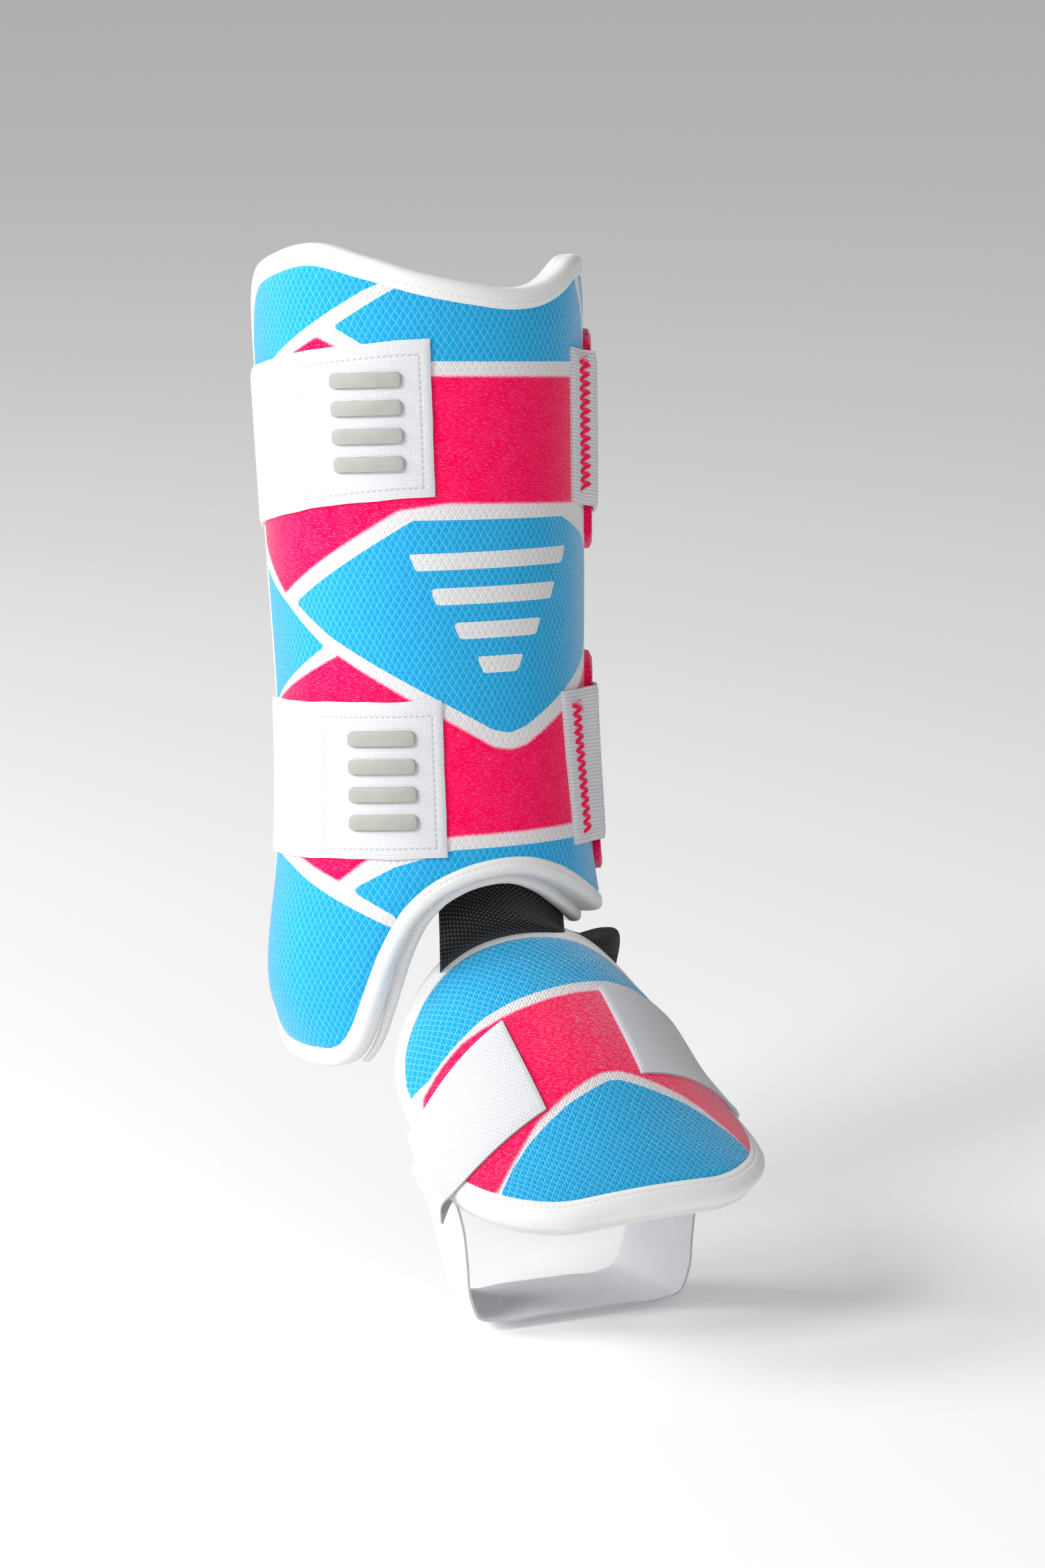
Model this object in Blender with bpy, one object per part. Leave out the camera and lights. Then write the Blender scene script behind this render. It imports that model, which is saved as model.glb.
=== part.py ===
"""
Batters leg guard for the left leg, in the form it has when worn: a padded shin shell on two
elastic straps, and a padded instep guard on a strap that runs under the sole.

Metres, +Z up. The front of the leg faces -Y and its outer side faces +X. The origin is the
middle of the leg hollow, half way between the two leg straps.
"""

from math import cos, exp, pi, radians, sin, sqrt

import bmesh
import bpy
import numpy as np
from mathutils import Euler, Vector

# Clearance between pieces that touch
GAP = 0.0003

# Shin shell
SHIN_HEIGHT = 0.285
SHIN_WIDTH = 0.115
SHIN_WALL = 0.009
LINER_WALL = 0.002
LINER_GAP = 0.0009
INNER_SIDE_ANGLE = -120.0
OUTER_SIDE_ANGLE = 100.0
SHIN_CORNER = 0.021
SEAT_LEVEL = 0.555
LEAN_BACK = 7.5
LEAN_OUT = 1.9
ANKLE_BULGE = 0.007
OUTER_BULGE = 0.004
TOP_ROLL = 0.0044
BOTTOM_ROLL = 0.0037
LIP_REACH = 0.0035
LIP_START = -48.0
LIP_EASE = 16.0
ROLL_CLEARANCE = 0.0006

# Leg straps, whose levels are shares of the shin height
LEG_STRAP_WIDTH = 0.054
LEG_STRAP_WALL = 0.0018
STRAP_FREE_END = -24.0
STRAP_SEWN_END = 33.0
UPPER_STRAP_LEVEL = 0.753
LOWER_STRAP_LEVEL = 0.351
UPPER_STRAP_TILT = 0.0094
CALF_BULGE = 0.003

# Loop pile patches under the sewn strap ends
PATCH_HEIGHT = 0.077
PATCH_WALL = 0.0026
PATCH_FRONT_ANGLE = 57.0
PATCH_BACK_ANGLE = 96.0
PATCH_CORNER = 0.009
PATCH_GAP = 0.0008
STRAP_STEP_ANGLE = 11.0

# Grip bars on the strap tabs
BAR_COUNT = 4
BAR_LENGTH = 0.025
BAR_HEIGHT = 0.0052
BAR_PITCH = 0.0096
BAR_WALL = 0.0012
BAR_ANGLE = -46.5

# Instep guard
GROUND_DROP = 0.232
FOOT_FORWARD = 0.015
FOOT_OUTWARD = 0.009
FOOT_TURN = -4.0
FOOT_LENGTH = 0.127
FOOT_HALF_ARC = 0.065
FOOT_EDGE_BOW = 0.005
TOE_SKEW = 0.003
TOE_CORNER = (0.64, 0.37)
INSTEP_CORNER = (0.75, 0.36)
FOOT_WALL = 0.0105
TOE_ROLL = 0.0052
INSTEP_ROLL = 0.0042
INSTEP_REACH = 0.150
INSTEP_HEIGHT = 0.127

# Instep strap
FOOT_STRAP_WIDTH = 0.038
FOOT_STRAP_WALL = 0.0018
FOOT_STRAP_PLACE = 0.56
FOOT_STRAP_SLANT = 0.20
FOOT_STRAP_CURL = 0.10
FOOT_STRAP_CLEARANCE = 0.0030
INNER_TAB_END = 0.0215
OUTER_TAB_END = 0.0145
SOLE_HALF_WIDTH = 0.037
SOLE_REACH = 0.072

# Webbing between the shell and the instep guard
WEBBING_WIDTH = 0.094
WEBBING_WALL = 0.0018
WEBBING_TURN = 19.0
WEBBING_SHIFT = 0.008
WEBBING_TOP_LEVEL = 0.30
WEBBING_EXIT_DROP = 0.0065
WEBBING_LAP = 0.018
WEBBING_CLEARANCE = 0.0035

# Rim of the shell: turn about the leg in degrees from the front, level as a share of the height
UPPER_EDGE = (
    # turn, level
    (-120.0, 0.945),
    (-105.0, 0.972),
    (-87.0, 0.990),
    (-68.0, 1.000),
    (-42.0, 0.978),
    (-25.0, 0.959),
    (-7.0, 0.945),
    (7.0, 0.938),
    (19.0, 0.941),
    (31.0, 0.954),
    (42.0, 0.970),
    (60.0, 0.975),
    (80.0, 0.960),
    (100.0, 0.945),
)

# Lower edge of the shell: ankle flare at the inner side, arch over the instep
LOWER_EDGE = (
    # turn, level
    (-120.0, 0.018),
    (-95.0, 0.005),
    (-80.0, 0.000),
    (-68.0, 0.003),
    (-62.0, 0.014),
    (-56.0, 0.040),
    (-51.0, 0.078),
    (-45.0, 0.128),
    (-38.0, 0.170),
    (-29.0, 0.200),
    (-18.0, 0.219),
    (-6.0, 0.228),
    (6.0, 0.228),
    (20.0, 0.216),
    (38.0, 0.192),
    (58.0, 0.168),
    (80.0, 0.160),
    (100.0, 0.160),
)

# Outer half width of the shin shell up its height
SHIN_SECTIONS = (
    # level, share of the half width
    (0.00, 0.965),
    (0.13, 0.948),
    (0.23, 0.950),
    (0.43, 0.932),
    (0.60, 0.957),
    (0.93, 1.002),
    (1.00, 1.012),
)

# Crest of the instep guard, from the toe edge to the instep edge
FOOT_SECTIONS = (
    # place along, share of the reach, share of the height, share of the half arc as radius
    (0.00, 1.000, 0.425, 2.60),
    (0.25, 0.838, 0.570, 1.50),
    (0.50, 0.655, 0.735, 1.03),
    (0.75, 0.460, 0.880, 0.92),
    (1.00, 0.270, 1.000, 0.70),
)

# Instep strap below the pad, on each side, down to the middle of the sole
SOLE_RUN = (
    # share of the instep height, then distance out and twist as shares of the sole half width
    (0.350, 1.27, 0.02),
    (0.270, 1.17, 0.05),
    (0.170, 1.10, 0.08),
    (0.070, 1.04, 0.10),
    (0.015, 0.95, 0.10),
    (0.000, 0.78, 0.08),
    (0.000, 0.38, 0.03),
)

COLOURS = {
    # material: red, green, blue, roughness
    "knit": (0.20, 0.62, 0.90, 0.75),
    "binding": (0.88, 0.88, 0.88, 0.80),
    "lining": (0.80, 0.80, 0.80, 0.85),
    "elastic": (0.90, 0.90, 0.92, 0.80),
    "pile": (0.95, 0.12, 0.38, 0.95),
    "rubber": (0.52, 0.53, 0.51, 0.45),
    "webbing": (0.02, 0.02, 0.02, 0.85),
}


def smooth(table, column, place):
    """Value of one column of a table at a place, on a smooth curve through its rows."""
    places = np.array([row[0] for row in table])
    values = np.array([row[column] for row in table])
    slopes = np.gradient(values, places)
    place = min(max(place, places[0]), places[-1])
    row = min(int(np.searchsorted(places, place, side="right")) - 1, len(places) - 2)
    step = places[row + 1] - places[row]
    share = (place - places[row]) / step
    start = values[row] * (1 + 2 * share) * (1 - share) ** 2 + values[row + 1] * share ** 2 * (3 - 2 * share)
    bend = slopes[row] * share * (1 - share) ** 2 - slopes[row + 1] * share ** 2 * (1 - share)
    return float(start + bend * step)


def bump(value, centre, spread):
    """Smooth bump of height one."""
    return exp(-((value - centre) / spread) ** 2)


def ease(value):
    """Smooth step from 0 to 1."""
    value = min(max(value, 0.0), 1.0)
    return value * value * (3.0 - 2.0 * value)


def wrapped(turn):
    """The same turn between -180 and 180 degrees."""
    return (turn + 180.0) % 360.0 - 180.0


def level_height(level):
    """Height on the shin's own axis of a share of the shin height."""
    return (level - SEAT_LEVEL) * SHIN_HEIGHT


def shin_radius(turn, height):
    """Outer radius of the shin shell."""
    turn = wrapped(turn)
    level = height / SHIN_HEIGHT + SEAT_LEVEL
    radius = smooth(SHIN_SECTIONS, 1, level) * SHIN_WIDTH / 2
    rise = 0.112 if level > 0.112 else 0.080
    ankle = bump(level, 0.112, rise) * bump(turn, -95.0, 38.0)
    outer = bump(level, 0.165, 0.045) * bump(turn, 78.0, 28.0)
    return radius + ANKLE_BULGE * ankle + OUTER_BULGE * outer


def shin_point(turn, height, depth=0.0):
    """Point at a depth under the outer face of the shell, in the shin's own frame."""
    radius = shin_radius(turn, height) - depth
    angle = radians(turn)
    return Vector((radius * sin(angle), -radius * cos(angle), height))


def corner_drop(distance, width, height):
    """How far a rounded corner stands back at a distance from the side."""
    if distance >= width:
        return 0.0
    return height * (1.0 - sqrt(max(0.0, 1.0 - (1.0 - distance / width) ** 2)))


class Outline:
    """Rounded outline of a pad in the flat: a lower and an upper edge between two sides."""

    def __init__(self, sides, lower, upper, lower_corner, upper_corner, columns, rows):
        self.columns = columns
        self.rows = rows
        left, right = sides
        dense = np.linspace(left, right, 600)

        def edge(value, across, corner, sign):
            near = min(across - left, right - across)
            return value(across) + sign * corner_drop(near, *corner)

        heights = np.array([edge(lower, across, lower_corner, 1.0) for across in dense])
        run = np.concatenate(([0.0], np.cumsum(np.hypot(np.diff(dense), np.diff(heights)))))
        across = np.interp(np.linspace(0.0, run[-1], columns + 1), run, dense)
        self.low = np.array([(a, edge(lower, a, lower_corner, 1.0)) for a in across])
        self.high = np.array([(a, edge(upper, a, upper_corner, -1.0)) for a in across])

    def loop(self):
        """Points round the outline, anticlockwise from the lower left."""
        shares = np.linspace(0.0, 1.0, self.rows + 1)[1:-1, None]
        right = self.low[-1] + shares * (self.high[-1] - self.low[-1])
        left = self.high[0] + shares * (self.low[0] - self.high[0])
        return np.concatenate((self.low, right, self.high[::-1], left))

    def between(self, low, high):
        """Value at each point of the loop: low along the lower edge, high along the upper."""
        climb = np.linspace(0.0, 1.0, self.rows + 1)[1:-1]
        edge = np.ones(self.columns + 1)
        share = np.concatenate((0.0 * edge, climb, edge, climb[::-1]))
        return low + (high - low) * share

    def inset(self, distance):
        """Loop moved inwards by a distance that may differ from point to point."""
        loop = self.loop()
        tangent = np.roll(loop, -1, axis=0) - np.roll(loop, 1, axis=0)
        tangent /= np.linalg.norm(tangent, axis=1)[:, None]
        inward = np.stack((-tangent[:, 1], tangent[:, 0]), axis=1)
        return loop + inward * distance[:, None]

    def grid(self, distance):
        """Function from a column number and a row share to a flat point inside the inset loop."""
        loop = self.inset(distance)
        lower = loop[:self.columns + 1]
        first = self.columns + self.rows
        upper = loop[first:first + self.columns + 1][::-1]

        def place(column, row):
            return lower[column] * (1.0 - row) + upper[column] * row

        return place


def make_material(name):
    """Plain material of one of the guard's stuffs."""
    material = bpy.data.materials.new(name)
    material.use_nodes = True
    shader = material.node_tree.nodes["Principled BSDF"]
    red, green, blue, roughness = COLOURS[name.split("-")[0]]
    shader.inputs["Base Color"].default_value = (red, green, blue, 1.0)
    shader.inputs["Roughness"].default_value = roughness
    shader.inputs["Metallic"].default_value = 0.0
    return material


def add_object(name, data, stuff, parent):
    """Object in the scene with its own material, carried by a parent frame."""
    piece = bpy.data.objects.new(name, data)
    data.materials.append(make_material(stuff + "-" + name))
    bpy.context.collection.objects.link(piece)
    piece.parent = parent
    return piece


def add_sheet(name, stuff, parent, columns, rows, place, wall):
    """Sheet with a wall: a flat slab of a grid, laid on a surface.

    place gives the point for a column number, a share across the sheet and a depth in the wall.
    """
    shape = bmesh.new()
    bmesh.ops.create_grid(shape, x_segments=columns, y_segments=rows, size=1.0)
    under = bmesh.ops.extrude_face_region(shape, geom=shape.faces[:], use_keep_orig=True)
    lowered = [item for item in under["geom"] if isinstance(item, bmesh.types.BMVert)]
    bmesh.ops.translate(shape, verts=lowered, vec=(0.0, 0.0, -1.0))
    bmesh.ops.recalc_face_normals(shape, faces=shape.faces[:])
    for vertex in shape.verts:
        column = round((vertex.co.x + 1.0) / 2.0 * columns)
        vertex.co = place(column, (vertex.co.y + 1.0) / 2.0, -vertex.co.z * wall)
    mesh = bpy.data.meshes.new(name)
    shape.to_mesh(mesh)
    shape.free()
    mesh.shade_smooth()
    mesh.set_sharp_from_angle(angle=radians(40.0))
    return add_object(name, mesh, stuff, parent)


def add_roll(name, stuff, parent, points, radii):
    """Rolled edge: a round closed tube through the points."""
    curve = bpy.data.curves.new(name, "CURVE")
    curve.dimensions = "3D"
    curve.bevel_depth = max(radii)
    curve.bevel_resolution = 2
    spline = curve.splines.new("POLY")
    spline.points.add(len(points) - 1)
    for knot, point, radius in zip(spline.points, points, radii):
        knot.co = (*point, 1.0)
        knot.radius = radius / curve.bevel_depth
    spline.use_cyclic_u = True
    return add_object(name, curve, stuff, parent)


def add_frame(name, location, rotation):
    """Empty that carries one half of the guard."""
    frame = bpy.data.objects.new(name, None)
    frame.location = location
    frame.rotation_euler = rotation
    bpy.context.collection.objects.link(frame)
    return frame


def shin_degree():
    """Distance round the leg in one degree, measured in the middle of the shell's wall."""
    return radians(1.0) * (SHIN_WIDTH - SHIN_WALL) / 2


def shin_outline(columns, rows):
    """Outline of the shin shell in the flat."""
    degree = shin_degree()
    return Outline(
        (INNER_SIDE_ANGLE * degree, OUTER_SIDE_ANGLE * degree),
        lambda across: level_height(smooth(LOWER_EDGE, 1, across / degree)),
        lambda across: level_height(smooth(UPPER_EDGE, 1, across / degree)),
        (SHIN_CORNER, SHIN_CORNER),
        (SHIN_CORNER, SHIN_CORNER),
        columns,
        rows,
    )


def on_shin(flat, depth):
    """Flat point of the shin outline, wrapped onto the shell."""
    across, height = flat
    return shin_point(across / shin_degree(), height, depth)


def build_shin(parent):
    """Shell, its rolled edge and its liner."""
    outline = shin_outline(44, 11)
    radii = outline.between(BOTTOM_ROLL, TOP_ROLL)
    flat = outline.grid(2 * radii + ROLL_CLEARANCE)
    add_sheet("shin_shell", "knit", parent, outline.columns, outline.rows,
              lambda column, row, depth: on_shin(flat(column, row), depth), SHIN_WALL)
    add_roll("shin_binding", "binding", parent,
             [on_shin(point, SHIN_WALL / 2) for point in outline.inset(radii)], radii)

    turn = outline.loop()[:, 0] / shin_degree()
    arch = np.clip((turn - LIP_START) / LIP_EASE, 0.0, 1.0) * (outline.between(1.0, 0.0) == 1.0)
    lining = outline.grid(radii - (radii + LIP_REACH) * arch)
    add_sheet("shin_liner", "lining", parent, outline.columns, outline.rows,
              lambda column, row, depth: on_shin(lining(column, row), SHIN_WALL + LINER_GAP + depth),
              LINER_WALL)


def strap_level(turn, level, tilt):
    """Height of a leg strap's middle line."""
    return level_height(level) + tilt * cos(radians(turn + 22.5))


def strap_lift(turn):
    """Height of a leg strap's outer face over the shell, round the leg from its sewn end."""
    over_shell = GAP + LEG_STRAP_WALL
    over_patch = over_shell + PATCH_GAP + PATCH_WALL
    climb = ease((turn - PATCH_FRONT_ANGLE + STRAP_STEP_ANGLE) / (STRAP_STEP_ANGLE - 1.5))
    behind = ease((turn - PATCH_BACK_ANGLE - 1.5) / (360.0 + INNER_SIDE_ANGLE - PATCH_BACK_ANGLE - 6.0))
    calf = CALF_BULGE * sin(pi * min(max((turn - OUTER_SIDE_ANGLE) / 140.0, 0.0), 1.0)) ** 2
    return over_shell + (over_patch - over_shell) * climb * (1.0 - behind) + calf


def build_leg_strap(name, parent, level, tilt):
    """Strap from its sewn end on the outer side, behind the leg, to its free end at the front."""
    columns, rows = 56, 2
    end_turn = 360.0 + STRAP_FREE_END

    def place(column, row, depth):
        turn = STRAP_SEWN_END + (end_turn - STRAP_SEWN_END) * column / columns
        height = strap_level(turn, level, tilt) + (row - 0.5) * LEG_STRAP_WIDTH
        return shin_point(turn, height, depth - strap_lift(turn))

    add_sheet(name, "elastic", parent, columns, rows, place, LEG_STRAP_WALL)


def build_patch(name, parent, level, tilt):
    """Loop pile patch on the outer side of the shell."""
    degree = shin_degree()
    middle = (PATCH_FRONT_ANGLE + PATCH_BACK_ANGLE) / 2
    centre = strap_level(middle, level, tilt)
    outline = Outline(
        (PATCH_FRONT_ANGLE * degree, PATCH_BACK_ANGLE * degree),
        lambda across: centre - PATCH_HEIGHT / 2,
        lambda across: centre + PATCH_HEIGHT / 2,
        (PATCH_CORNER, PATCH_CORNER),
        (PATCH_CORNER, PATCH_CORNER),
        10,
        8,
    )
    flat = outline.grid(outline.between(0.0, 0.0))
    add_sheet(name, "pile", parent, outline.columns, outline.rows,
              lambda column, row, depth: on_shin(flat(column, row), depth - PATCH_GAP - PATCH_WALL),
              PATCH_WALL)


def build_bars(name, parent, level, tilt):
    """Plain raised grip bars on a strap's tab, one above another."""
    columns = 6
    lift = LEG_STRAP_WALL + 2 * GAP + BAR_WALL
    centre = strap_level(BAR_ANGLE, level, tilt)
    for number in range(BAR_COUNT):
        middle = centre + (number - (BAR_COUNT - 1) / 2) * BAR_PITCH
        half_turn = BAR_LENGTH / SHIN_WIDTH / radians(1.0)

        def place(column, row, depth, middle=middle, half_turn=half_turn):
            turn = BAR_ANGLE + half_turn * (2.0 * column / columns - 1.0)
            return shin_point(turn, middle + (row - 0.5) * BAR_HEIGHT, depth - lift)

        add_sheet(name + "_" + str(number + 1), "rubber", parent, columns, 1, place, BAR_WALL)


def foot_crest(along):
    """Crest point of the instep guard, its upward direction and the arch radius there."""
    def crest(place):
        forward = smooth(FOOT_SECTIONS, 1, place) * INSTEP_REACH
        height = smooth(FOOT_SECTIONS, 2, place) * INSTEP_HEIGHT
        return Vector((0.0, -forward, height))

    step = 0.02
    slope = crest(min(along + step, 1.0)) - crest(max(along - step, 0.0))
    upward = Vector((1.0, 0.0, 0.0)).cross(slope).normalized()
    return crest(along), upward, smooth(FOOT_SECTIONS, 3, along) * FOOT_HALF_ARC


def foot_point(across, along, depth=0.0):
    """Point at a depth under the outer face of the instep guard, in the foot's own frame."""
    crest, upward, radius = foot_crest(along / FOOT_LENGTH)
    angle = across / (radius - FOOT_WALL / 2)
    sideways = Vector((1.0, 0.0, 0.0)) * sin(angle) + upward * cos(angle)
    return crest - upward * radius + sideways * (radius - depth)


def foot_outline(columns, rows):
    """Outline of the instep guard: rounded toe edge, narrower rounded instep edge."""
    half = FOOT_HALF_ARC
    return Outline(
        (-half, half),
        lambda across: FOOT_EDGE_BOW * (across / half) ** 2 + TOE_SKEW * (across / half),
        instep_edge,
        (TOE_CORNER[0] * half, TOE_CORNER[1] * FOOT_LENGTH),
        (INSTEP_CORNER[0] * half, INSTEP_CORNER[1] * FOOT_LENGTH),
        columns,
        rows,
    )


def instep_edge(across):
    """Distance of the instep edge from the toe edge, before its corners are rounded."""
    return FOOT_LENGTH - FOOT_EDGE_BOW * (across / FOOT_HALF_ARC) ** 2


def build_instep_guard(parent):
    """Instep pad and its rolled edge."""
    outline = foot_outline(28, 9)
    radii = outline.between(TOE_ROLL, INSTEP_ROLL)
    flat = outline.grid(2 * radii + ROLL_CLEARANCE)
    add_sheet("foot_pad", "knit", parent, outline.columns, outline.rows,
              lambda column, row, depth: foot_point(*flat(column, row), depth), FOOT_WALL)
    add_roll("foot_binding", "binding", parent,
             [foot_point(*point, FOOT_WALL / 2) for point in outline.inset(radii)], radii)


def build_foot_strap(parent):
    """Strap from the inner side of the pad, under the sole, to the outer side of the pad."""
    lift = GAP + FOOT_STRAP_WALL
    pad_steps = 11
    hollow = Vector((0.0, -SOLE_REACH, SOLE_HALF_WIDTH))

    def side_line(side, tab_end, share, depth):
        """Line on one side, from the tab end down to the sole, at a share of the strap's width."""
        over = (share - 0.5) * FOOT_STRAP_WIDTH
        points = []
        pad_run = [(across, -lift) for across in np.linspace(tab_end, FOOT_HALF_ARC, pad_steps)]
        pad_run.append((FOOT_HALF_ARC + FOOT_STRAP_CLEARANCE, FOOT_WALL / 2 - FOOT_STRAP_WALL))
        for across, under in pad_run:
            curl = FOOT_STRAP_PLACE - FOOT_STRAP_CURL * (across / FOOT_HALF_ARC) ** 2
            along = curl * FOOT_LENGTH + over + FOOT_STRAP_SLANT * side * across
            points.append(foot_point(side * across, along, under + depth))
        for height, out, twist in SOLE_RUN:
            wide = SOLE_HALF_WIDTH * (out + twist * (1.0 - 2.0 * share))
            point = Vector((side * wide, over - SOLE_REACH, height * INSTEP_HEIGHT))
            inward = hollow - point
            inward.y = 0.0
            points.append(point + inward.normalized() * depth)
        return points

    def line(share, depth):
        """Whole line from one tab end to the other."""
        inner = side_line(-1.0, INNER_TAB_END, share, depth)
        outer = side_line(1.0, OUTER_TAB_END, share, depth)
        return outer + [(inner[-1] + outer[-1]) / 2] + inner[::-1]

    columns = 2 * (pad_steps + 1 + len(SOLE_RUN))
    add_sheet("foot_strap", "elastic", parent, columns, 2,
              lambda column, row, depth: line(row, depth)[column], FOOT_STRAP_WALL)


def build_webbing(shin_frame, foot_frame):
    """Woven band from behind the shin liner to the underside of the instep guard."""
    columns, rows = 14, 7
    to_world = shin_frame.matrix_basis
    to_foot = foot_frame.matrix_basis.inverted()
    behind = SHIN_WALL + LINER_GAP + LINER_WALL + 2 * GAP
    under = FOOT_WALL + GAP
    half_turn = WEBBING_WIDTH / SHIN_WIDTH / radians(1.0)
    top = level_height(WEBBING_TOP_LEVEL)
    corner = (INSTEP_CORNER[0] * FOOT_HALF_ARC, INSTEP_CORNER[1] * FOOT_LENGTH)

    def place(column, row, depth):
        share = 2.0 * column / columns - 1.0
        turn = WEBBING_TURN + half_turn * share
        across = share * WEBBING_WIDTH / 2 + WEBBING_SHIFT
        high = to_foot @ (to_world @ shin_point(turn, top, behind + depth))
        arch = level_height(smooth(LOWER_EDGE, 1, turn)) - WEBBING_EXIT_DROP
        exit_low = to_foot @ (to_world @ shin_point(turn, arch, behind + depth))
        edge = instep_edge(across) - corner_drop(FOOT_HALF_ARC - abs(across), *corner)
        low = foot_point(across, edge - WEBBING_LAP, under + depth)
        enter = foot_point(across, edge, under + WEBBING_CLEARANCE + depth)
        route = (low, enter, exit_low, high)
        reach = row * 3.0
        leg = min(int(reach), 2)
        return route[leg].lerp(route[leg + 1], reach - leg)

    add_sheet("connector_strap", "webbing", foot_frame, columns, rows, place, WEBBING_WALL)


def build_guard():
    """Whole guard, on a leaning shin frame and a turned foot frame."""
    for old in list(bpy.data.objects):
        bpy.data.objects.remove(old, do_unlink=True)
    shin_frame = add_frame("shin_frame", (0.0, 0.0, 0.0),
                           Euler((radians(-LEAN_BACK), radians(LEAN_OUT), 0.0)))
    foot_frame = add_frame("foot_frame", (FOOT_OUTWARD, -FOOT_FORWARD, -GROUND_DROP),
                           Euler((0.0, 0.0, radians(FOOT_TURN))))
    build_shin(shin_frame)
    for side, level, tilt in (("upper", UPPER_STRAP_LEVEL, UPPER_STRAP_TILT),
                              ("lower", LOWER_STRAP_LEVEL, 0.0)):
        build_leg_strap(side + "_strap", shin_frame, level, tilt)
        build_patch(side + "_pile_patch", shin_frame, level, tilt)
        build_bars(side + "_tab_bar", shin_frame, level, tilt)
    build_instep_guard(foot_frame)
    build_foot_strap(foot_frame)
    build_webbing(shin_frame, foot_frame)


build_guard()
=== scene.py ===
"""Batters leg guard as it is worn: knit shells, elastic straps and webbing, dressed for the render."""

import logging
from dataclasses import dataclass
from enum import Enum
from typing import Callable, Sequence

import bmesh
import bpy
import numpy as np
from mathutils import Euler, Matrix, Vector

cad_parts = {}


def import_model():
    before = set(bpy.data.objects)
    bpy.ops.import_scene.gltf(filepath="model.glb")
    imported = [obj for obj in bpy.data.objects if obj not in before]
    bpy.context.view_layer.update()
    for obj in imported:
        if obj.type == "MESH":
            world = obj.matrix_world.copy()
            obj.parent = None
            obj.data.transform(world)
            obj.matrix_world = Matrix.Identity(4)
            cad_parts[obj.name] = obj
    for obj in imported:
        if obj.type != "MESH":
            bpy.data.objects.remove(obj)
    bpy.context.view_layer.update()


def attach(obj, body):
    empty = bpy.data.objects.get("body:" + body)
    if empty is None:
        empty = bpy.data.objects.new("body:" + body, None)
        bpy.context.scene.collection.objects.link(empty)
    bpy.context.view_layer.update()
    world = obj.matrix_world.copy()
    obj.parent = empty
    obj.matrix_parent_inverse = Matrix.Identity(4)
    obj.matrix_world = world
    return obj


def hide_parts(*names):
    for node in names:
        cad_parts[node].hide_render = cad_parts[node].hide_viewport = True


log = logging.getLogger("leg_guard")

Array = np.ndarray
Material = bpy.types.Material
Mesh = bpy.types.Mesh
Node = bpy.types.Node
Socket = bpy.types.NodeSocket
Tree = bpy.types.NodeTree
Place = Callable[[Array, Array, Array], Array]
Flat = Callable[[Array, Array], Array]
Laid = Callable[[Array, Array], Array]

UNPRINTED = -1.0  # panel distance given to an under face, metres
PAD_INSET = 1.15  # a pad's rim lies this share of the roll inside its outline
TAPE_SPREAD = 1.02  # the tape's half width, as a share of the roll
TAPE_END = 0.02  # what is left of an open tape's width at its ends
TAPE_UNDER = 9.0  # stretch of its flat places under the edge, which keeps the stitches off it


# Number helpers


def hermite(start: Array, end: Array, slopes: tuple[Array, Array], share: Array) -> Array:
    """Read a smooth curve between two values.

    Args:
        start: Values at the start.
        end: Values at the end.
        slopes: Slopes at the start and at the end, over the whole step.
        share: Share of the step.

    Returns:
        The values there.
    """
    left = 1.0 - share
    ends = start * (1 + 2 * share) * left ** 2 + end * share ** 2 * (3 - 2 * share)
    return ends + slopes[0] * share * left ** 2 - slopes[1] * share ** 2 * left


def smooth(table: Sequence[Sequence[float]], column: int, places: Array) -> Array:
    """Read one column of a table on a smooth curve through its rows.

    Args:
        table: Rows that start with a place.
        column: Column to read.
        places: Places to read it at.

    Returns:
        One value for each place.
    """
    knots = np.array([row[0] for row in table])
    values = np.array([row[column] for row in table])
    slopes = np.gradient(values, knots)
    places = np.clip(places, knots[0], knots[-1])
    row = np.clip(np.searchsorted(knots, places, side="right") - 1, 0, len(knots) - 2)
    step = knots[row + 1] - knots[row]
    return hermite(values[row], values[row + 1], (slopes[row] * step, slopes[row + 1] * step),
                   (places - knots[row]) / step)


def bump(value: Array, centre: float, spread: Array | float) -> Array:
    """Smooth bump of height one."""
    return np.exp(-((value - centre) / spread) ** 2)


def ease(value: Array) -> Array:
    """Smooth step from 0 to 1."""
    value = np.clip(value, 0.0, 1.0)
    return value * value * (3.0 - 2.0 * value)


def wave(value: Array, seed: float) -> Array:
    """Slow irregular wave between about -1 and 1."""
    return (np.sin(value + seed) + 0.6 * np.sin(2.3 * value + 1.7 * seed)) / 1.6


def rounded(value: Array, power: float) -> Array:
    """Power of a value's size, with its own sign."""
    return np.sign(value) * np.abs(value) ** power


def run_along(points: Array) -> Array:
    """Distance of each point along the line through them."""
    return np.concatenate(([0.0], np.cumsum(np.linalg.norm(np.diff(points, axis=0), axis=1))))


def rim_distance(column: Array, row: Array, columns: int, cell: float, height: float) -> Array:
    """Distance of a grid's points from its nearest rim, from its cell and its height."""
    return np.minimum(np.minimum(column, columns - column) * cell, np.minimum(row, 1.0 - row) * height)


def corner_drop(near: Array, wide: float, deep: float) -> Array:
    """Depth of a rounded corner at distances from its side."""
    share = np.clip(1.0 - near / wide, 0.0, 1.0)
    return deep * (1.0 - np.sqrt(1.0 - share ** 2))


def moved(local: Array, frame: Matrix) -> Array:
    """World points of points in a frame."""
    matrix = np.array(frame)
    return local @ matrix[:3, :3].T + matrix[:3, 3]


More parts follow.
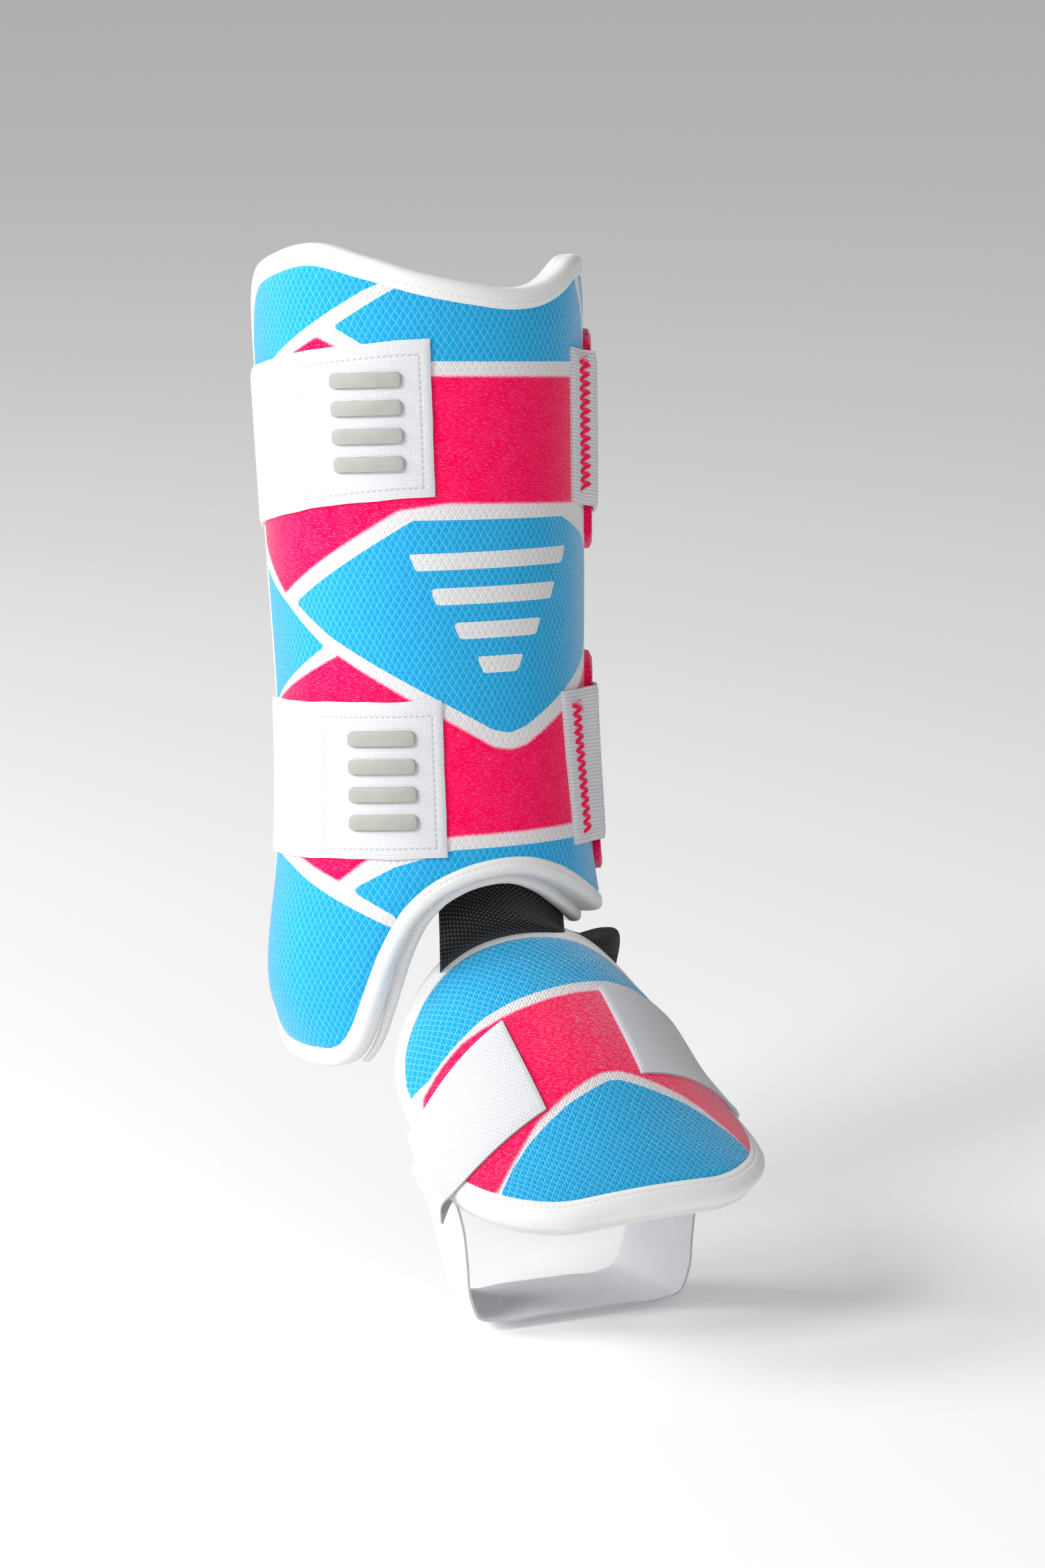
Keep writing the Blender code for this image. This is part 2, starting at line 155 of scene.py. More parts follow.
def reach_inside(outline: Sequence[Sequence[float]], across: Array, along: Array) -> Array:
    """Distance of points inside a flat outline, negative outside it.

    Args:
        outline: Corner points of a closed outline.
        across: First coordinate of the points.
        along: Second coordinate of the points.

    Returns:
        Distance to the outline's nearest side, positive inside.
    """
    corners = np.array(outline, float)
    nearest = np.full(across.shape, 1e9)
    inside = np.zeros(across.shape, bool)
    for start, end in zip(corners, np.roll(corners, -1, axis=0)):
        run = end - start
        share = ((across - start[0]) * run[0] + (along - start[1]) * run[1]) / (run @ run)
        share = np.clip(share, 0.0, 1.0)
        away = np.hypot(across - start[0] - share * run[0], along - start[1] - share * run[1])
        nearest = np.minimum(nearest, away)
        crosses = (start[1] > along) != (end[1] > along)
        rise = np.where(run[1] == 0, 1e-12, run[1])
        inside ^= crosses & (across < start[0] + (along - start[1]) * run[0] / rise)
    return np.where(inside, nearest, -nearest)


def widest_reach(outlines: Sequence, across: Array, along: Array) -> Array:
    """Distance of points inside any of some flat outlines, negative outside them all."""
    return np.max([reach_inside(outline, across, along) for outline in outlines], axis=0)


class Panel(Enum):
    """Colours of the printed panels."""

    BLUE = "blue_reach"
    PINK = "pink_reach"


Reach = Callable[[Panel, Array], Array]


# Forms that carry the pieces


@dataclass(frozen=True)
class ShinForm:
    """Outer surface of the shin shell, by turn in degrees and height on the leaning axis."""

    height: float = 0.285
    width: float = 0.115
    wall: float = 0.009
    seat_level: float = 0.555
    lean_back: float = 7.5
    lean_out: float = 1.9
    ankle_bulge: float = 0.007
    ankle_place: tuple = (0.112, -95.0)
    ankle_spread: tuple = (0.112, 0.080, 38.0)
    outer_bulge: float = 0.004
    outer_place: tuple = (0.165, 78.0)
    outer_spread: tuple = (0.045, 28.0)
    liner_gap: float = 0.0009
    liner_wall: float = 0.002
    sections: tuple = (
        (0.00, 0.965), (0.13, 0.948), (0.23, 0.950), (0.43, 0.932),
        (0.60, 0.957), (0.93, 1.002), (1.00, 1.012),
    )

    @property
    def degree(self) -> float:
        """Distance round the shell in one degree, in the middle of the wall."""
        return np.radians(1.0) * (self.width - self.wall) / 2

    @property
    def frame(self) -> Matrix:
        """Matrix of the leaning shell."""
        lean = Euler((-np.radians(self.lean_back), np.radians(self.lean_out), 0.0))
        return lean.to_matrix().to_4x4()

    def level_height(self, level: Array | float) -> Array:
        """Height on the leaning axis of a share of its height."""
        return (level - self.seat_level) * self.height

    def radius(self, turn: Array, height: Array) -> Array:
        """Outer radius of the shell.

        Args:
            turn: Turn about the axis, in degrees from the front.
            height: Height on the leaning axis.

        Returns:
            Radius, with the ankle flare and the small bulge of the outer side.
        """
        turn = (turn + 180.0) % 360.0 - 180.0
        level = height / self.height + self.seat_level
        above, below, aside = self.ankle_spread
        rise = np.where(level > self.ankle_place[0], above, below)
        ankle = bump(level, self.ankle_place[0], rise) * bump(turn, self.ankle_place[1], aside)
        outer = (bump(level, self.outer_place[0], self.outer_spread[0])
                 * bump(turn, self.outer_place[1], self.outer_spread[1]))
        return (smooth(self.sections, 1, level) * self.width / 2
                + self.ankle_bulge * ankle + self.outer_bulge * outer)

    def points(self, turn: Array, height: Array, depth: Array | float) -> Array:
        """World points at a depth under the outer face.

        Args:
            turn: Turn about the axis, in degrees from the front.
            height: Height on the leaning axis.
            depth: Depth under the outer face, negative above it.

        Returns:
            Points as rows of three numbers.
        """
        radius = self.radius(turn, height) - depth
        angle = np.radians(turn)
        local = np.stack((radius * np.sin(angle), -radius * np.cos(angle), height + 0.0 * radius),
                         axis=-1)
        return moved(local, self.frame)


@dataclass(frozen=True)
class FootForm:
    """Outer surface of the instep guard, by distance across and along from the toe edge."""

    ground_drop: float = 0.232
    forward: float = 0.015
    outward: float = 0.009
    turn: float = -4.0
    length: float = 0.127
    half_arc: float = 0.065
    edge_bow: float = 0.005
    toe_skew: float = 0.003
    wall: float = 0.0105
    instep_reach: float = 0.150
    instep_height: float = 0.127
    toe_corner: tuple = (0.64, 0.37)
    instep_corner: tuple = (0.75, 0.36)
    sections: tuple = (
        (0.00, 1.000, 0.425, 2.60), (0.25, 0.838, 0.570, 1.50), (0.50, 0.655, 0.735, 1.03),
        (0.75, 0.460, 0.880, 0.92), (1.00, 0.270, 1.000, 0.70),
    )

    @property
    def frame(self) -> Matrix:
        """Matrix of the turned pad."""
        place = Matrix.Translation((self.outward, -self.forward, -self.ground_drop))
        return place @ Matrix.Rotation(np.radians(self.turn), 4, "Z")

    def world(self, local: Array) -> Array:
        """World points of points in the pad's own frame."""
        return moved(local, self.frame)

    def corner(self, shares: tuple[float, float]) -> tuple[float, float]:
        """Width and depth of a rounded corner from its shares of the guard's size."""
        return shares[0] * self.half_arc, shares[1] * self.length

    def toe_line(self, across: Array) -> Array:
        """Distance of the toe edge from its own middle, before its corners are rounded."""
        share = across / self.half_arc
        return self.edge_bow * share ** 2 + self.toe_skew * share

    def instep_line(self, across: Array) -> Array:
        """Distance of the instep edge from the toe edge, before its corners are rounded."""
        return self.length - self.edge_bow * (across / self.half_arc) ** 2

    def instep_edge(self, across: Array) -> Array:
        """Distance of the instep edge from the toe edge, its corners rounded."""
        drop = corner_drop(self.half_arc - np.abs(across), *self.corner(self.instep_corner))
        return self.instep_line(across) - drop

    def crest(self, along: Array) -> tuple[Array, Array]:
        """Crest of the guard as a forward and a height coordinate."""
        share = along / self.length
        return (-smooth(self.sections, 1, share) * self.instep_reach,
                smooth(self.sections, 2, share) * self.instep_height)

    def points(self, across: Array, along: Array, depth: Array | float) -> Array:
        """Points at a depth under the outer face, in the pad's own frame.

        Args:
            across: Distance from the crest round the pad.
            along: Distance from the toe edge.
            depth: Depth under the outer face.

        Returns:
            Points as rows of three numbers.
        """
        step = 0.02 * self.length
        ahead = self.crest(np.minimum(along + step, self.length))
        behind = self.crest(np.maximum(along - step, 0.0))
        slope_y, slope_z = ahead[0] - behind[0], ahead[1] - behind[1]
        size = np.hypot(slope_y, slope_z)
        up_y, up_z = -slope_z / size, slope_y / size
        crest_y, crest_z = self.crest(along)
        radius = smooth(self.sections, 3, along / self.length) * self.half_arc
        angle = across / (radius - self.wall / 2)
        out = (radius - depth) * np.cos(angle) - radius
        return np.stack(((radius - depth) * np.sin(angle), crest_y + up_y * out, crest_z + up_z * out),
                        axis=-1)


@dataclass
class Outline:
    """Rounded outline of a pad in the flat: a lower and an upper edge between two sides."""

    sides: tuple[float, float]
    lower: Callable[[Array], Array]
    upper: Callable[[Array], Array]
    lower_corner: tuple[float, float]
    upper_corner: tuple[float, float]
    columns: int
    rows: int

    def __post_init__(self) -> None:
        """Space the columns evenly along the lower edge."""
        left, right = self.sides
        dense = np.linspace(left, right, 1200)
        heights = self.edge(dense, self.lower, self.lower_corner, 1.0)
        run = run_along(np.stack((dense, heights), axis=1))
        across = np.interp(np.linspace(0.0, run[-1], self.columns + 1), run, dense)
        self.low = np.stack((across, self.edge(across, self.lower, self.lower_corner, 1.0)), axis=1)
        self.high = np.stack((across, self.edge(across, self.upper, self.upper_corner, -1.0)), axis=1)

    def edge(self, across: Array, value: Callable[[Array], Array], corner: tuple, sign: float) -> Array:
        """Height of one edge, rounded off near the sides."""
        near = np.minimum(across - self.sides[0], self.sides[1] - across)
        return value(across) + sign * corner_drop(near, *corner)

    def loop(self) -> Array:
        """Lay points round the outline.

        Returns:
            Flat points, anticlockwise from the lower left.
        """
        shares = np.linspace(0.0, 1.0, self.rows + 1)[1:-1, None]
        right = self.low[-1] + shares * (self.high[-1] - self.low[-1])
        left = self.high[0] + shares * (self.low[0] - self.high[0])
        return np.concatenate((self.low, right, self.high[::-1], left))

    def between(self, low: float, high: float) -> Array:
        """Spread two values round the loop.

        Args:
            low: Value on the lower edge.
            high: Value on the upper edge.

        Returns:
            One value for each point of the loop.
        """
        climb = np.linspace(0.0, 1.0, self.rows + 1)[1:-1]
        edge = np.ones(self.columns + 1)
        return low + (high - low) * np.concatenate((0.0 * edge, climb, edge, climb[::-1]))

    def inset(self, distance: Array) -> Array:
        """Move the loop inwards.

        Args:
            distance: Distance for each point, negative outwards.

        Returns:
            Flat points of the moved loop.
        """
        loop = self.loop()
        tangent = np.roll(loop, -1, axis=0) - np.roll(loop, 1, axis=0)
        tangent /= np.linalg.norm(tangent, axis=1)[:, None]
        inward = np.stack((-tangent[:, 1], tangent[:, 0]), axis=1)
        return loop + inward * distance[:, None]

    def grid(self, distance: Array) -> Callable[[Array, Array], Array]:
        """Fill the inset loop with a grid.

        Args:
            distance: Inset of each point of the loop.

        Returns:
            Function from column numbers and row shares to flat points.
        """
        loop = self.inset(distance)
        lower = loop[:self.columns + 1]
        first = self.columns + self.rows
        upper = loop[first:first + self.columns + 1][::-1]

        def place(column: Array, row: Array) -> Array:
            """Flat points of a column and a row share."""
            column = np.rint(column).astype(int)
            return lower[column] * (1.0 - row)[:, None] + upper[column] * row[:, None]

        return place


# Shader helpers


class Nodes:
    """Short calls that add and join nodes in one node tree."""

    def __init__(self, tree: Tree) -> None:
        """Keep the tree."""
        self.tree = tree

    def add(self, kind: str, **values) -> Node:
        """Add a node.

        Args:
            kind: Node type without its prefix.
            values: Properties, or inputs as numbers, colours or sockets.

        Returns:
            The new node.
        """
        node = self.tree.nodes.new("ShaderNode" + kind)
        for name, value in values.items():
            if name in node.bl_rna.properties:
                setattr(node, name, value)
            else:
                self.feed(node.inputs[name.replace("_", " ")], value)
        return node

    def feed(self, socket: Socket, value: object) -> None:
        """Fill an input.

        Args:
            socket: Input to fill.
            value: Socket to join to it, or its value.
        """
        if isinstance(value, Socket):
            self.tree.links.new(value, socket)
        else:
            socket.default_value = value

    def math(self, operation: str, *values: object) -> Socket:
        """Add a math node.

        Args:
            operation: Its operation.
            values: Its numbers or sockets.

        Returns:
            Its result.
        """
        node = self.add("Math", operation=operation)
        for socket, value in zip(node.inputs, values):
            self.feed(socket, value)
        return node.outputs[0]

    def times(self, first: object, second: object) -> Socket:
        """Product of two values."""
        return self.math("MULTIPLY", first, second)

    def plus(self, first: object, second: object) -> Socket:
        """Sum of two values."""
        return self.math("ADD", first, second)

    def less(self, first: object, second: object) -> Socket:
        """First value less the second."""
        return self.math("SUBTRACT", first, second)

    def over(self, first: object, second: object) -> Socket:
        """First value over the second."""
        return self.math("DIVIDE", first, second)

    def ripple(self, value: object, pitch: object) -> Socket:
        """Sine wave of a value, with a pitch."""
        return self.math("SINE", self.times(self.over(value, pitch), 2.0 * np.pi))

    def ramp(self, value: object, low: float, high: float, to_low: float = 0.0,
             to_high: float = 1.0) -> Socket:
        """Smooth step of a value from one range to another.

        Args:
            value: Number or socket to read.
            low: Value at which the step starts.
            high: Value at which it ends.
            to_low: Result at its start.
            to_high: Result at its end.

        Returns:
            The result.
        """
        node = self.add("MapRange", interpolation_type="SMOOTHSTEP")
        for name, number in (("Value", value), ("From Min", low), ("From Max", high),
                             ("To Min", to_low), ("To Max", to_high)):
            self.feed(node.inputs[name], number)
        return node.outputs[0]

    def mix(self, share: object, first: object, second: object) -> Socket:
        """Mix two colours.

        Args:
            share: Share of the second.
            first: First colour.
            second: Second colour.

        Returns:
            The mixed colour.
        """
        node = self.add("Mix", data_type="RGBA")
        for number, value in ((0, share), (6, first), (7, second)):
            self.feed(node.inputs[number], value)
        return node.outputs[2]

    def blend(self, share: object, first: object, second: object) -> Socket:
        """Blend two numbers.

        Args:
            share: Share of the second.
            first: First number.
            second: Second number.

        Returns:
            The blended number.
        """
        node = self.add("Mix", data_type="FLOAT")
        for number, value in ((0, share), (2, first), (3, second)):
            self.feed(node.inputs[number], value)
        return node.outputs[0]

    def noise(self, vector: object, scale: float, detail: float) -> Socket:
        """Noise value at a scale."""
        return self.add("TexNoise", Scale=scale, Detail=detail, Vector=vector).outputs[0]

    def split(self, vector: object) -> bpy.types.bpy_prop_collection:
        """Outputs with the three numbers of a vector."""
        return self.add("SeparateXYZ", Vector=vector).outputs

    def millimetres(self, vector: object) -> Socket:
        """Vector in metres as one in millimetres."""
        node = self.add("VectorMath", operation="SCALE", Vector=vector)
        node.inputs["Scale"].default_value = 1000.0
        return node.outputs[0]

    def group(self, tree: Tree, **values) -> Node:
        """Place a node group.

        Args:
            tree: The group.
            values: Its inputs as numbers or sockets.

        Returns:
            The node that holds it.
        """
        node = self.tree.nodes.new("ShaderNodeGroup")
        node.node_tree = tree
        for name, value in values.items():
            self.feed(node.inputs[name], value)
        return node


def new_group(name: str, inputs: Sequence[tuple[str, float]],
              outputs: Sequence[str]) -> tuple[Nodes, Sequence, Callable]:
    """Start a shader node group.

    Args:
        name: Name of the group.
        inputs: Name and default of each number input, after the Flat vector.
        outputs: Names of the number outputs.

    Returns:
        Its helper, its input sockets and a function that takes its outputs, in their order.
    """
    tree = bpy.data.node_groups.new(name, "ShaderNodeTree")
    tree.interface.new_socket("Flat", in_out="INPUT", socket_type="NodeSocketVector")
    for label, default in inputs:
        socket = tree.interface.new_socket(label, in_out="INPUT", socket_type="NodeSocketFloat")
        socket.default_value = default
    for label in outputs:
        tree.interface.new_socket(label, in_out="OUTPUT", socket_type="NodeSocketFloat")
    inlet, outlet = tree.nodes.new("NodeGroupInput"), tree.nodes.new("NodeGroupOutput")
    nodes = Nodes(tree)

    def give(*values: Socket) -> Tree:
        """Join the outputs and give the group."""
        for socket, value in zip(outlet.inputs, values):
            nodes.feed(socket, value)
        return tree

    return nodes, inlet.outputs, give


class Effects:
    """Node groups shared by the finishes: diamond net, plain weave and brushed pile."""

    def __init__(self) -> None:
        """Build each group once."""
        self.net = self.build_net()
        self.weave = self.build_weave()
        self.pile = self.build_pile()

    @staticmethod
    def build_net() -> Tree:
        """Diamond net of raised threads over fine ribs, on flat millimetres.

        Returns:
            The group.
        """
        nodes, given, give = new_group(
            "diamond_net", (("Width", 2.4), ("Height", 4.2), ("Line", 0.16), ("Rib", 0.62)),
            ("Line", "Height", "Shade"))
        spot = nodes.split(given["Flat"])
        warp = nodes.noise(given["Flat"], 0.06, 1.0)
        across = nodes.plus(spot[0], nodes.times(warp, 3.0))
        column, row = nodes.over(across, given["Width"]), nodes.over(spot[1], given["Height"])
        threads = []
        for way in ("ADD", "SUBTRACT"):
            saw = nodes.math("FRACT", nodes.math(way, column, row))
            threads.append(nodes.math("ABSOLUTE", nodes.less(saw, 0.5)))
        near = nodes.over(nodes.math("MINIMUM", *threads), given["Line"])
        line = nodes.ramp(nodes.less(1.0, nodes.math("SMOOTH_MAX", 0.0, near, 0.25)), 0.0, 1.0)
        rows = nodes.times(nodes.ripple(spot[1], 0.8), 0.5)
        fine = nodes.times(nodes.plus(nodes.ripple(across, given["Rib"]), rows), 0.14)
        cell = nodes.times(nodes.times(*threads), 2.4)
        return give(line, nodes.plus(nodes.plus(nodes.times(line, 0.45), cell), fine), fine)

    @staticmethod
    def build_weave() -> Tree:
        """Plain weave of warp and weft threads, on flat millimetres.

        Returns:
            The group.
        """
        nodes, given, give = new_group(
            "plain_weave", (("Pitch", 1.0), ("Ratio", 1.0)), ("Height", "Gap"))
        spot = nodes.split(given["Flat"])
        turns = nodes.over(np.pi, given["Pitch"])
        across = nodes.math("SINE", nodes.times(spot[0], turns))
        along = nodes.math("SINE", nodes.times(nodes.times(spot[1], given["Ratio"]), turns))
        warp, weft = nodes.math("ABSOLUTE", across), nodes.math("ABSOLUTE", along)
        height = nodes.plus(nodes.times(nodes.times(warp, weft), 0.7),
                            nodes.times(nodes.times(across, along), 0.3))
        return give(height, nodes.ramp(nodes.math("MINIMUM", warp, weft), 0.0, 0.45, 1.0, 0.0))

    @staticmethod
    def build_pile() -> Tree:
        """Brushed loop pile: soft blotches, short bright fibres and a rough height.

        Returns:
            The group.
        """
        nodes, given, give = new_group("brushed_pile", (), ("Blotch", "Fibre", "Height"))
        spot = given["Flat"]
        blotch = nodes.ramp(nodes.noise(spot, 0.16, 4.0), 0.30, 0.72)
        strands = []
        for number, turn in enumerate((0.5, 1.7, 2.7)):
            bend = nodes.add("Mapping", vector_type="POINT", Vector=spot)
            bend.inputs["Rotation"].default_value = (0.0, 0.0, turn)
            bend.inputs["Scale"].default_value = (0.6, 3.0, 1.0)
            bend.inputs["Location"].default_value = (7.0 * number, 3.0 * number, number)
            strands.append(nodes.ramp(nodes.noise(bend.outputs[0], 1.1, 1.0), 0.60, 0.74))
        fibre = nodes.math("MAXIMUM", nodes.math("MAXIMUM", strands[0], strands[1]), strands[2])
        return give(blotch, fibre, nodes.plus(nodes.noise(spot, 2.2, 3.0), nodes.times(fibre, 0.3)))


@dataclass(frozen=True)
class Cloth:
    """Plain values of a cloth's shader."""

    name: str
    roughness: float = 0.85
    sheen: float = 0.25
    sheen_tint: tuple = (1.0, 1.0, 1.0, 1.0)
    specular: float = 0.25
    bump: float = 0.25
    bump_reach: float = 0.0004

    def start(self) -> tuple[Material, Nodes, Node, Node]:
        """Make the material, its shader and its bump node.

        Returns:
            The material, its helper, the shader and the bump node.
        """
        material = bpy.data.materials.new(self.name)
        material.use_nodes = True
        nodes = Nodes(material.node_tree)
        shader = material.node_tree.nodes["Principled BSDF"]
        shader.inputs["Roughness"].default_value = self.roughness
        shader.inputs["Sheen Weight"].default_value = self.sheen
        shader.inputs["Sheen Roughness"].default_value = 0.28
        shader.inputs["Sheen Tint"].default_value = self.sheen_tint
        shader.inputs["Specular IOR Level"].default_value = self.specular
        relief = nodes.add("Bump", Strength=self.bump, Distance=self.bump_reach)
        nodes.feed(shader.inputs["Normal"], relief.outputs[0])
        return material, nodes, shader, relief

    @staticmethod
    def flat(nodes: Nodes) -> Socket:
        """The piece's own UV map, which holds flat metres, as millimetres."""
        return nodes.millimetres(nodes.add("UVMap", uv_map="flat").outputs[0])


PINK = (1.0, 0.0, 0.095, 1.0)
PINK_LIGHT = (1.0, 0.22, 0.45, 1.0)


@dataclass(frozen=True)
class PrintedKnit(Cloth):
    """Sky-blue net knit with printed white bands and brushed pink panels."""

    blue: tuple = (0.010, 0.345, 0.69, 1.0)
    blue_line: tuple = (0.15, 0.64, 0.93, 1.0)
    white: tuple = (0.70, 0.69, 0.70, 1.0)
    white_line: tuple = (0.90, 0.90, 0.91, 1.0)
    white_by_pink: tuple = (1.0, 0.62, 0.74, 1.0)
    net: tuple = (2.4, 4.2, 0.16, 0.62)

    def make(self, effects: Effects) -> Material:
        """Build the material.

        Args:
            effects: Shared node groups.

        Returns:
            The material.
        """
        material, nodes, shader, relief = self.start()
        flat = self.flat(nodes)
        width, height, line, rib = self.net
        net = nodes.group(
            effects.net, Flat=flat, Width=width, Height=height, Line=line, Rib=rib).outputs
        pile = nodes.group(effects.pile, Flat=flat).outputs
        blue_reach, pink_reach = [nodes.add("Attribute", attribute_name=panel.value).outputs["Fac"]
                                  for panel in Panel]
        is_blue = nodes.ramp(blue_reach, -0.00012, 0.00012)
        fray = nodes.times(nodes.less(nodes.noise(flat, 1.6, 3.0), 0.5), 0.0016)
        soft = nodes.plus(pink_reach, fray)
        is_pink = nodes.ramp(soft, -0.0007, 0.0006)
        halo = nodes.ramp(soft, -0.0030, 0.0, 0.0, 0.35)
        white = nodes.mix(nodes.times(net["Line"], 0.85), self.white, self.white_line)
        mottle = nodes.times(nodes.less(nodes.noise(flat, 0.35, 3.0), 0.5), 0.25)
        blue_share = nodes.plus(nodes.plus(nodes.times(net["Line"], 0.62), net["Shade"]), mottle)
        blue = nodes.mix(blue_share, self.blue, self.blue_line)
        knit = nodes.mix(is_blue, nodes.mix(halo, white, self.white_by_pink), blue)
        fluff = nodes.plus(nodes.times(pile["Blotch"], 0.04), nodes.times(pile["Fibre"], 0.40))
        pink = nodes.mix(fluff, PINK, PINK_LIGHT)
        nodes.feed(shader.inputs["Base Color"], nodes.mix(is_pink, knit, pink))
        raised = nodes.plus(nodes.times(pile["Height"], 0.9), 0.8)
        nodes.feed(relief.inputs["Height"], nodes.blend(is_pink, net["Height"], raised))
        return material


@dataclass(frozen=True)
class TwillTape(Cloth):
    """White twill, with a row of running stitches where it is sewn."""

    colour: tuple = (0.86, 0.855, 0.85, 1.0)
    stitch_colour: tuple = (0.62, 0.62, 0.63, 1.0)
    pitch: float = 0.62
    sewn: bool = True
    stitch_place: float = 0.7
    stitch_step: float = 2.1

    def make(self, effects: Effects) -> Material:
        """Build the material.

        Args:
            effects: Shared node groups.

        Returns:
            The material.
        """
        material, nodes, shader, relief = self.start()
        flat = self.flat(nodes)
        spot = nodes.split(flat)
        rib = nodes.ripple(nodes.plus(spot[0], spot[1]), self.pitch)
        # Random soiling from the noise, plus painted shade of the diagonal twill ribs from the rib
        # ripple
        soil_and_twill_shade = nodes.plus(nodes.times(rib, 0.05), nodes.times(nodes.noise(flat, 0.11, 3.0), 0.12))
        colour = nodes.mix(soil_and_twill_shade, self.colour, self.stitch_colour)
        height = nodes.times(rib, 0.22)
        if self.sewn:
            off = nodes.math("ABSOLUTE", nodes.less(spot[1], self.stitch_place))
            groove = nodes.ramp(off, 0.15, 0.9, 1.0, 0.0)
            beat = nodes.math("FRACT", nodes.over(spot[0], self.stitch_step))
            dash = nodes.math("ABSOLUTE", nodes.less(beat, 0.5))
            hole = nodes.times(nodes.ramp(dash, 0.30, 0.42), nodes.ramp(off, 0.12, 0.36, 1.0, 0.0))
            colour = nodes.mix(nodes.times(hole, 0.75), colour, self.stitch_colour)
            height = nodes.plus(nodes.times(nodes.plus(groove, nodes.times(hole, 1.3)), -1.4), height)
        nodes.feed(shader.inputs["Base Color"], colour)
        nodes.feed(relief.inputs["Height"], height)
        return material


@dataclass(frozen=True)
class Elastic(Cloth):
    """White woven elastic: ribs along it, a fine grid where the tab is backed, dashed stitching, and
    painted shade in the rib troughs and the gaps of the weave.
    """

    colour: tuple = (0.74, 0.745, 0.77, 1.0)
    # Colour of the painted shade in the rib troughs and the gaps of the weave
    shade: tuple = (0.34, 0.36, 0.42, 1.0)
    thread: tuple = (0.42, 0.42, 0.43, 1.0)
    rib: float = 1.25
    cross_rib: float = 0.7
    grid: float = 0.62
    backed: float = 0.0
    tab_box: tuple = ()
    stitch_step: float = 2.1

    def make(self, effects: Effects) -> Material:
        """Build the material.

        Args:
            effects: Shared node groups.

        Returns:
            The material.
        """
        material, nodes, shader, relief = self.start()
        flat = self.flat(nodes)
        spot = nodes.split(flat)
        run, wide = spot[0], spot[1]
        weave = nodes.group(effects.weave, Flat=flat, Pitch=self.grid, Ratio=0.8).outputs
        rib = nodes.ripple(wide, self.rib)
        ribs = nodes.plus(nodes.times(rib, 0.5), nodes.times(nodes.ripple(run, self.cross_rib), 0.18))
        on_tab = nodes.ramp(run, self.backed, self.backed + 0.6, 1.0, 0.0)
        height = nodes.blend(on_tab, ribs, weave["Height"])
        # Painted shade: the rib troughs and, on the tab, the gaps of the weave are darkened towards the
        # shade colour
        dark = nodes.blend(on_tab, nodes.ramp(rib, -1.0, -0.2, 0.42, 0.0),
                           nodes.times(weave["Gap"], 0.55))
        colour = nodes.mix(dark, self.colour, self.shade)
        if self.tab_box:
            sides = []
            for place, low, high in ((run, *self.tab_box[:2]), (wide, *self.tab_box[2:])):
                off = nodes.math("ABSOLUTE", nodes.less(place, (low + high) / 2))
                sides.append(nodes.less(off, (high - low) / 2))
            edge = nodes.math("ABSOLUTE", nodes.math("MAXIMUM", *sides))
            beat = nodes.math("FRACT", nodes.over(nodes.plus(run, wide), self.stitch_step))
            dash = nodes.times(nodes.ramp(edge, 0.18, 0.42, 1.0, 0.0), nodes.ramp(beat, 0.30, 0.45))
            groove = nodes.ramp(edge, 0.2, 0.9, 1.0, 0.0)
            colour = nodes.mix(nodes.times(dash, 0.7), colour, self.thread)
            height = nodes.less(height, nodes.times(nodes.plus(groove, dash), 0.8))
        nodes.feed(shader.inputs["Base Color"], colour)
        nodes.feed(relief.inputs["Height"], height)
        return material


@dataclass(frozen=True)
class LoopPile(Cloth):
    """Brushed pink loop pile and pink sewing thread."""

    light: tuple = PINK_LIGHT
    fibres: float = 0.40

    def make(self, effects: Effects) -> Material:
        """Build the material.

        Args:
            effects: Shared node groups.

        Returns:
            The material.
        """
        material, nodes, shader, relief = self.start()
        place = nodes.millimetres(nodes.add("TexCoord").outputs["Object"])
        pile = nodes.group(effects.pile, Flat=place).outputs
        share = nodes.plus(nodes.times(pile["Blotch"], 0.04), nodes.times(pile["Fibre"], self.fibres))
        nodes.feed(shader.inputs["Base Color"], nodes.mix(share, PINK, self.light))
        nodes.feed(relief.inputs["Height"], pile["Height"])
        return material


@dataclass(frozen=True)
class Webbing(Cloth):
    """Black webbing in a coarse weave, its raised threads painted paler as a painted highlight."""

    dark: tuple = (0.004, 0.004, 0.0045, 1.0)
    # Colour of the painted highlight on the raised threads
    light: tuple = (0.11, 0.11, 0.112, 1.0)
    pitch: float = 1.5

    def make(self, effects: Effects) -> Material:
        """Build the material.

        Args:
            effects: Shared node groups.

        Returns:
            The material.
        """
        material, nodes, shader, relief = self.start()
        flat = self.flat(nodes)
        weave = nodes.group(effects.weave, Flat=flat, Pitch=self.pitch, Ratio=1.5).outputs
        speck = nodes.plus(nodes.times(nodes.noise(flat, 0.9, 3.0), 0.3), 0.7)
        # Painted highlight: the raised threads of the weave are lighter, made uneven by noise
        share = nodes.times(nodes.ramp(weave["Height"], 0.30, 0.85), speck)
        nodes.feed(shader.inputs["Base Color"], nodes.mix(share, self.dark, self.light))
        nodes.feed(relief.inputs["Height"], weave["Height"])
        return material


@dataclass(frozen=True)
class GripRubber(Cloth):
    """Satin gray rubber with a fine grain and lighter worn clouds."""

    colour: tuple = (0.36, 0.37, 0.335, 1.0)
    worn: tuple = (0.385, 0.395, 0.36, 1.0)

    def make(self, effects: Effects) -> Material:
        """Build the material.

        Args:
            effects: Shared node groups.

        Returns:
            The material.
        """
        material, nodes, shader, relief = self.start()
        place = nodes.add("TexCoord").outputs["Object"]
        cloud = nodes.noise(place, 160.0, 3.0)
        wear = nodes.ramp(cloud, 0.35, 0.75)
        nodes.feed(shader.inputs["Base Color"], nodes.mix(wear, self.colour, self.worn))
        nodes.feed(shader.inputs["Roughness"], nodes.ramp(cloud, 0.2, 0.8, 0.38, 0.52))
        nodes.feed(relief.inputs["Height"], nodes.noise(place, 2500.0, 2.0))
        return material


# Mesh helpers


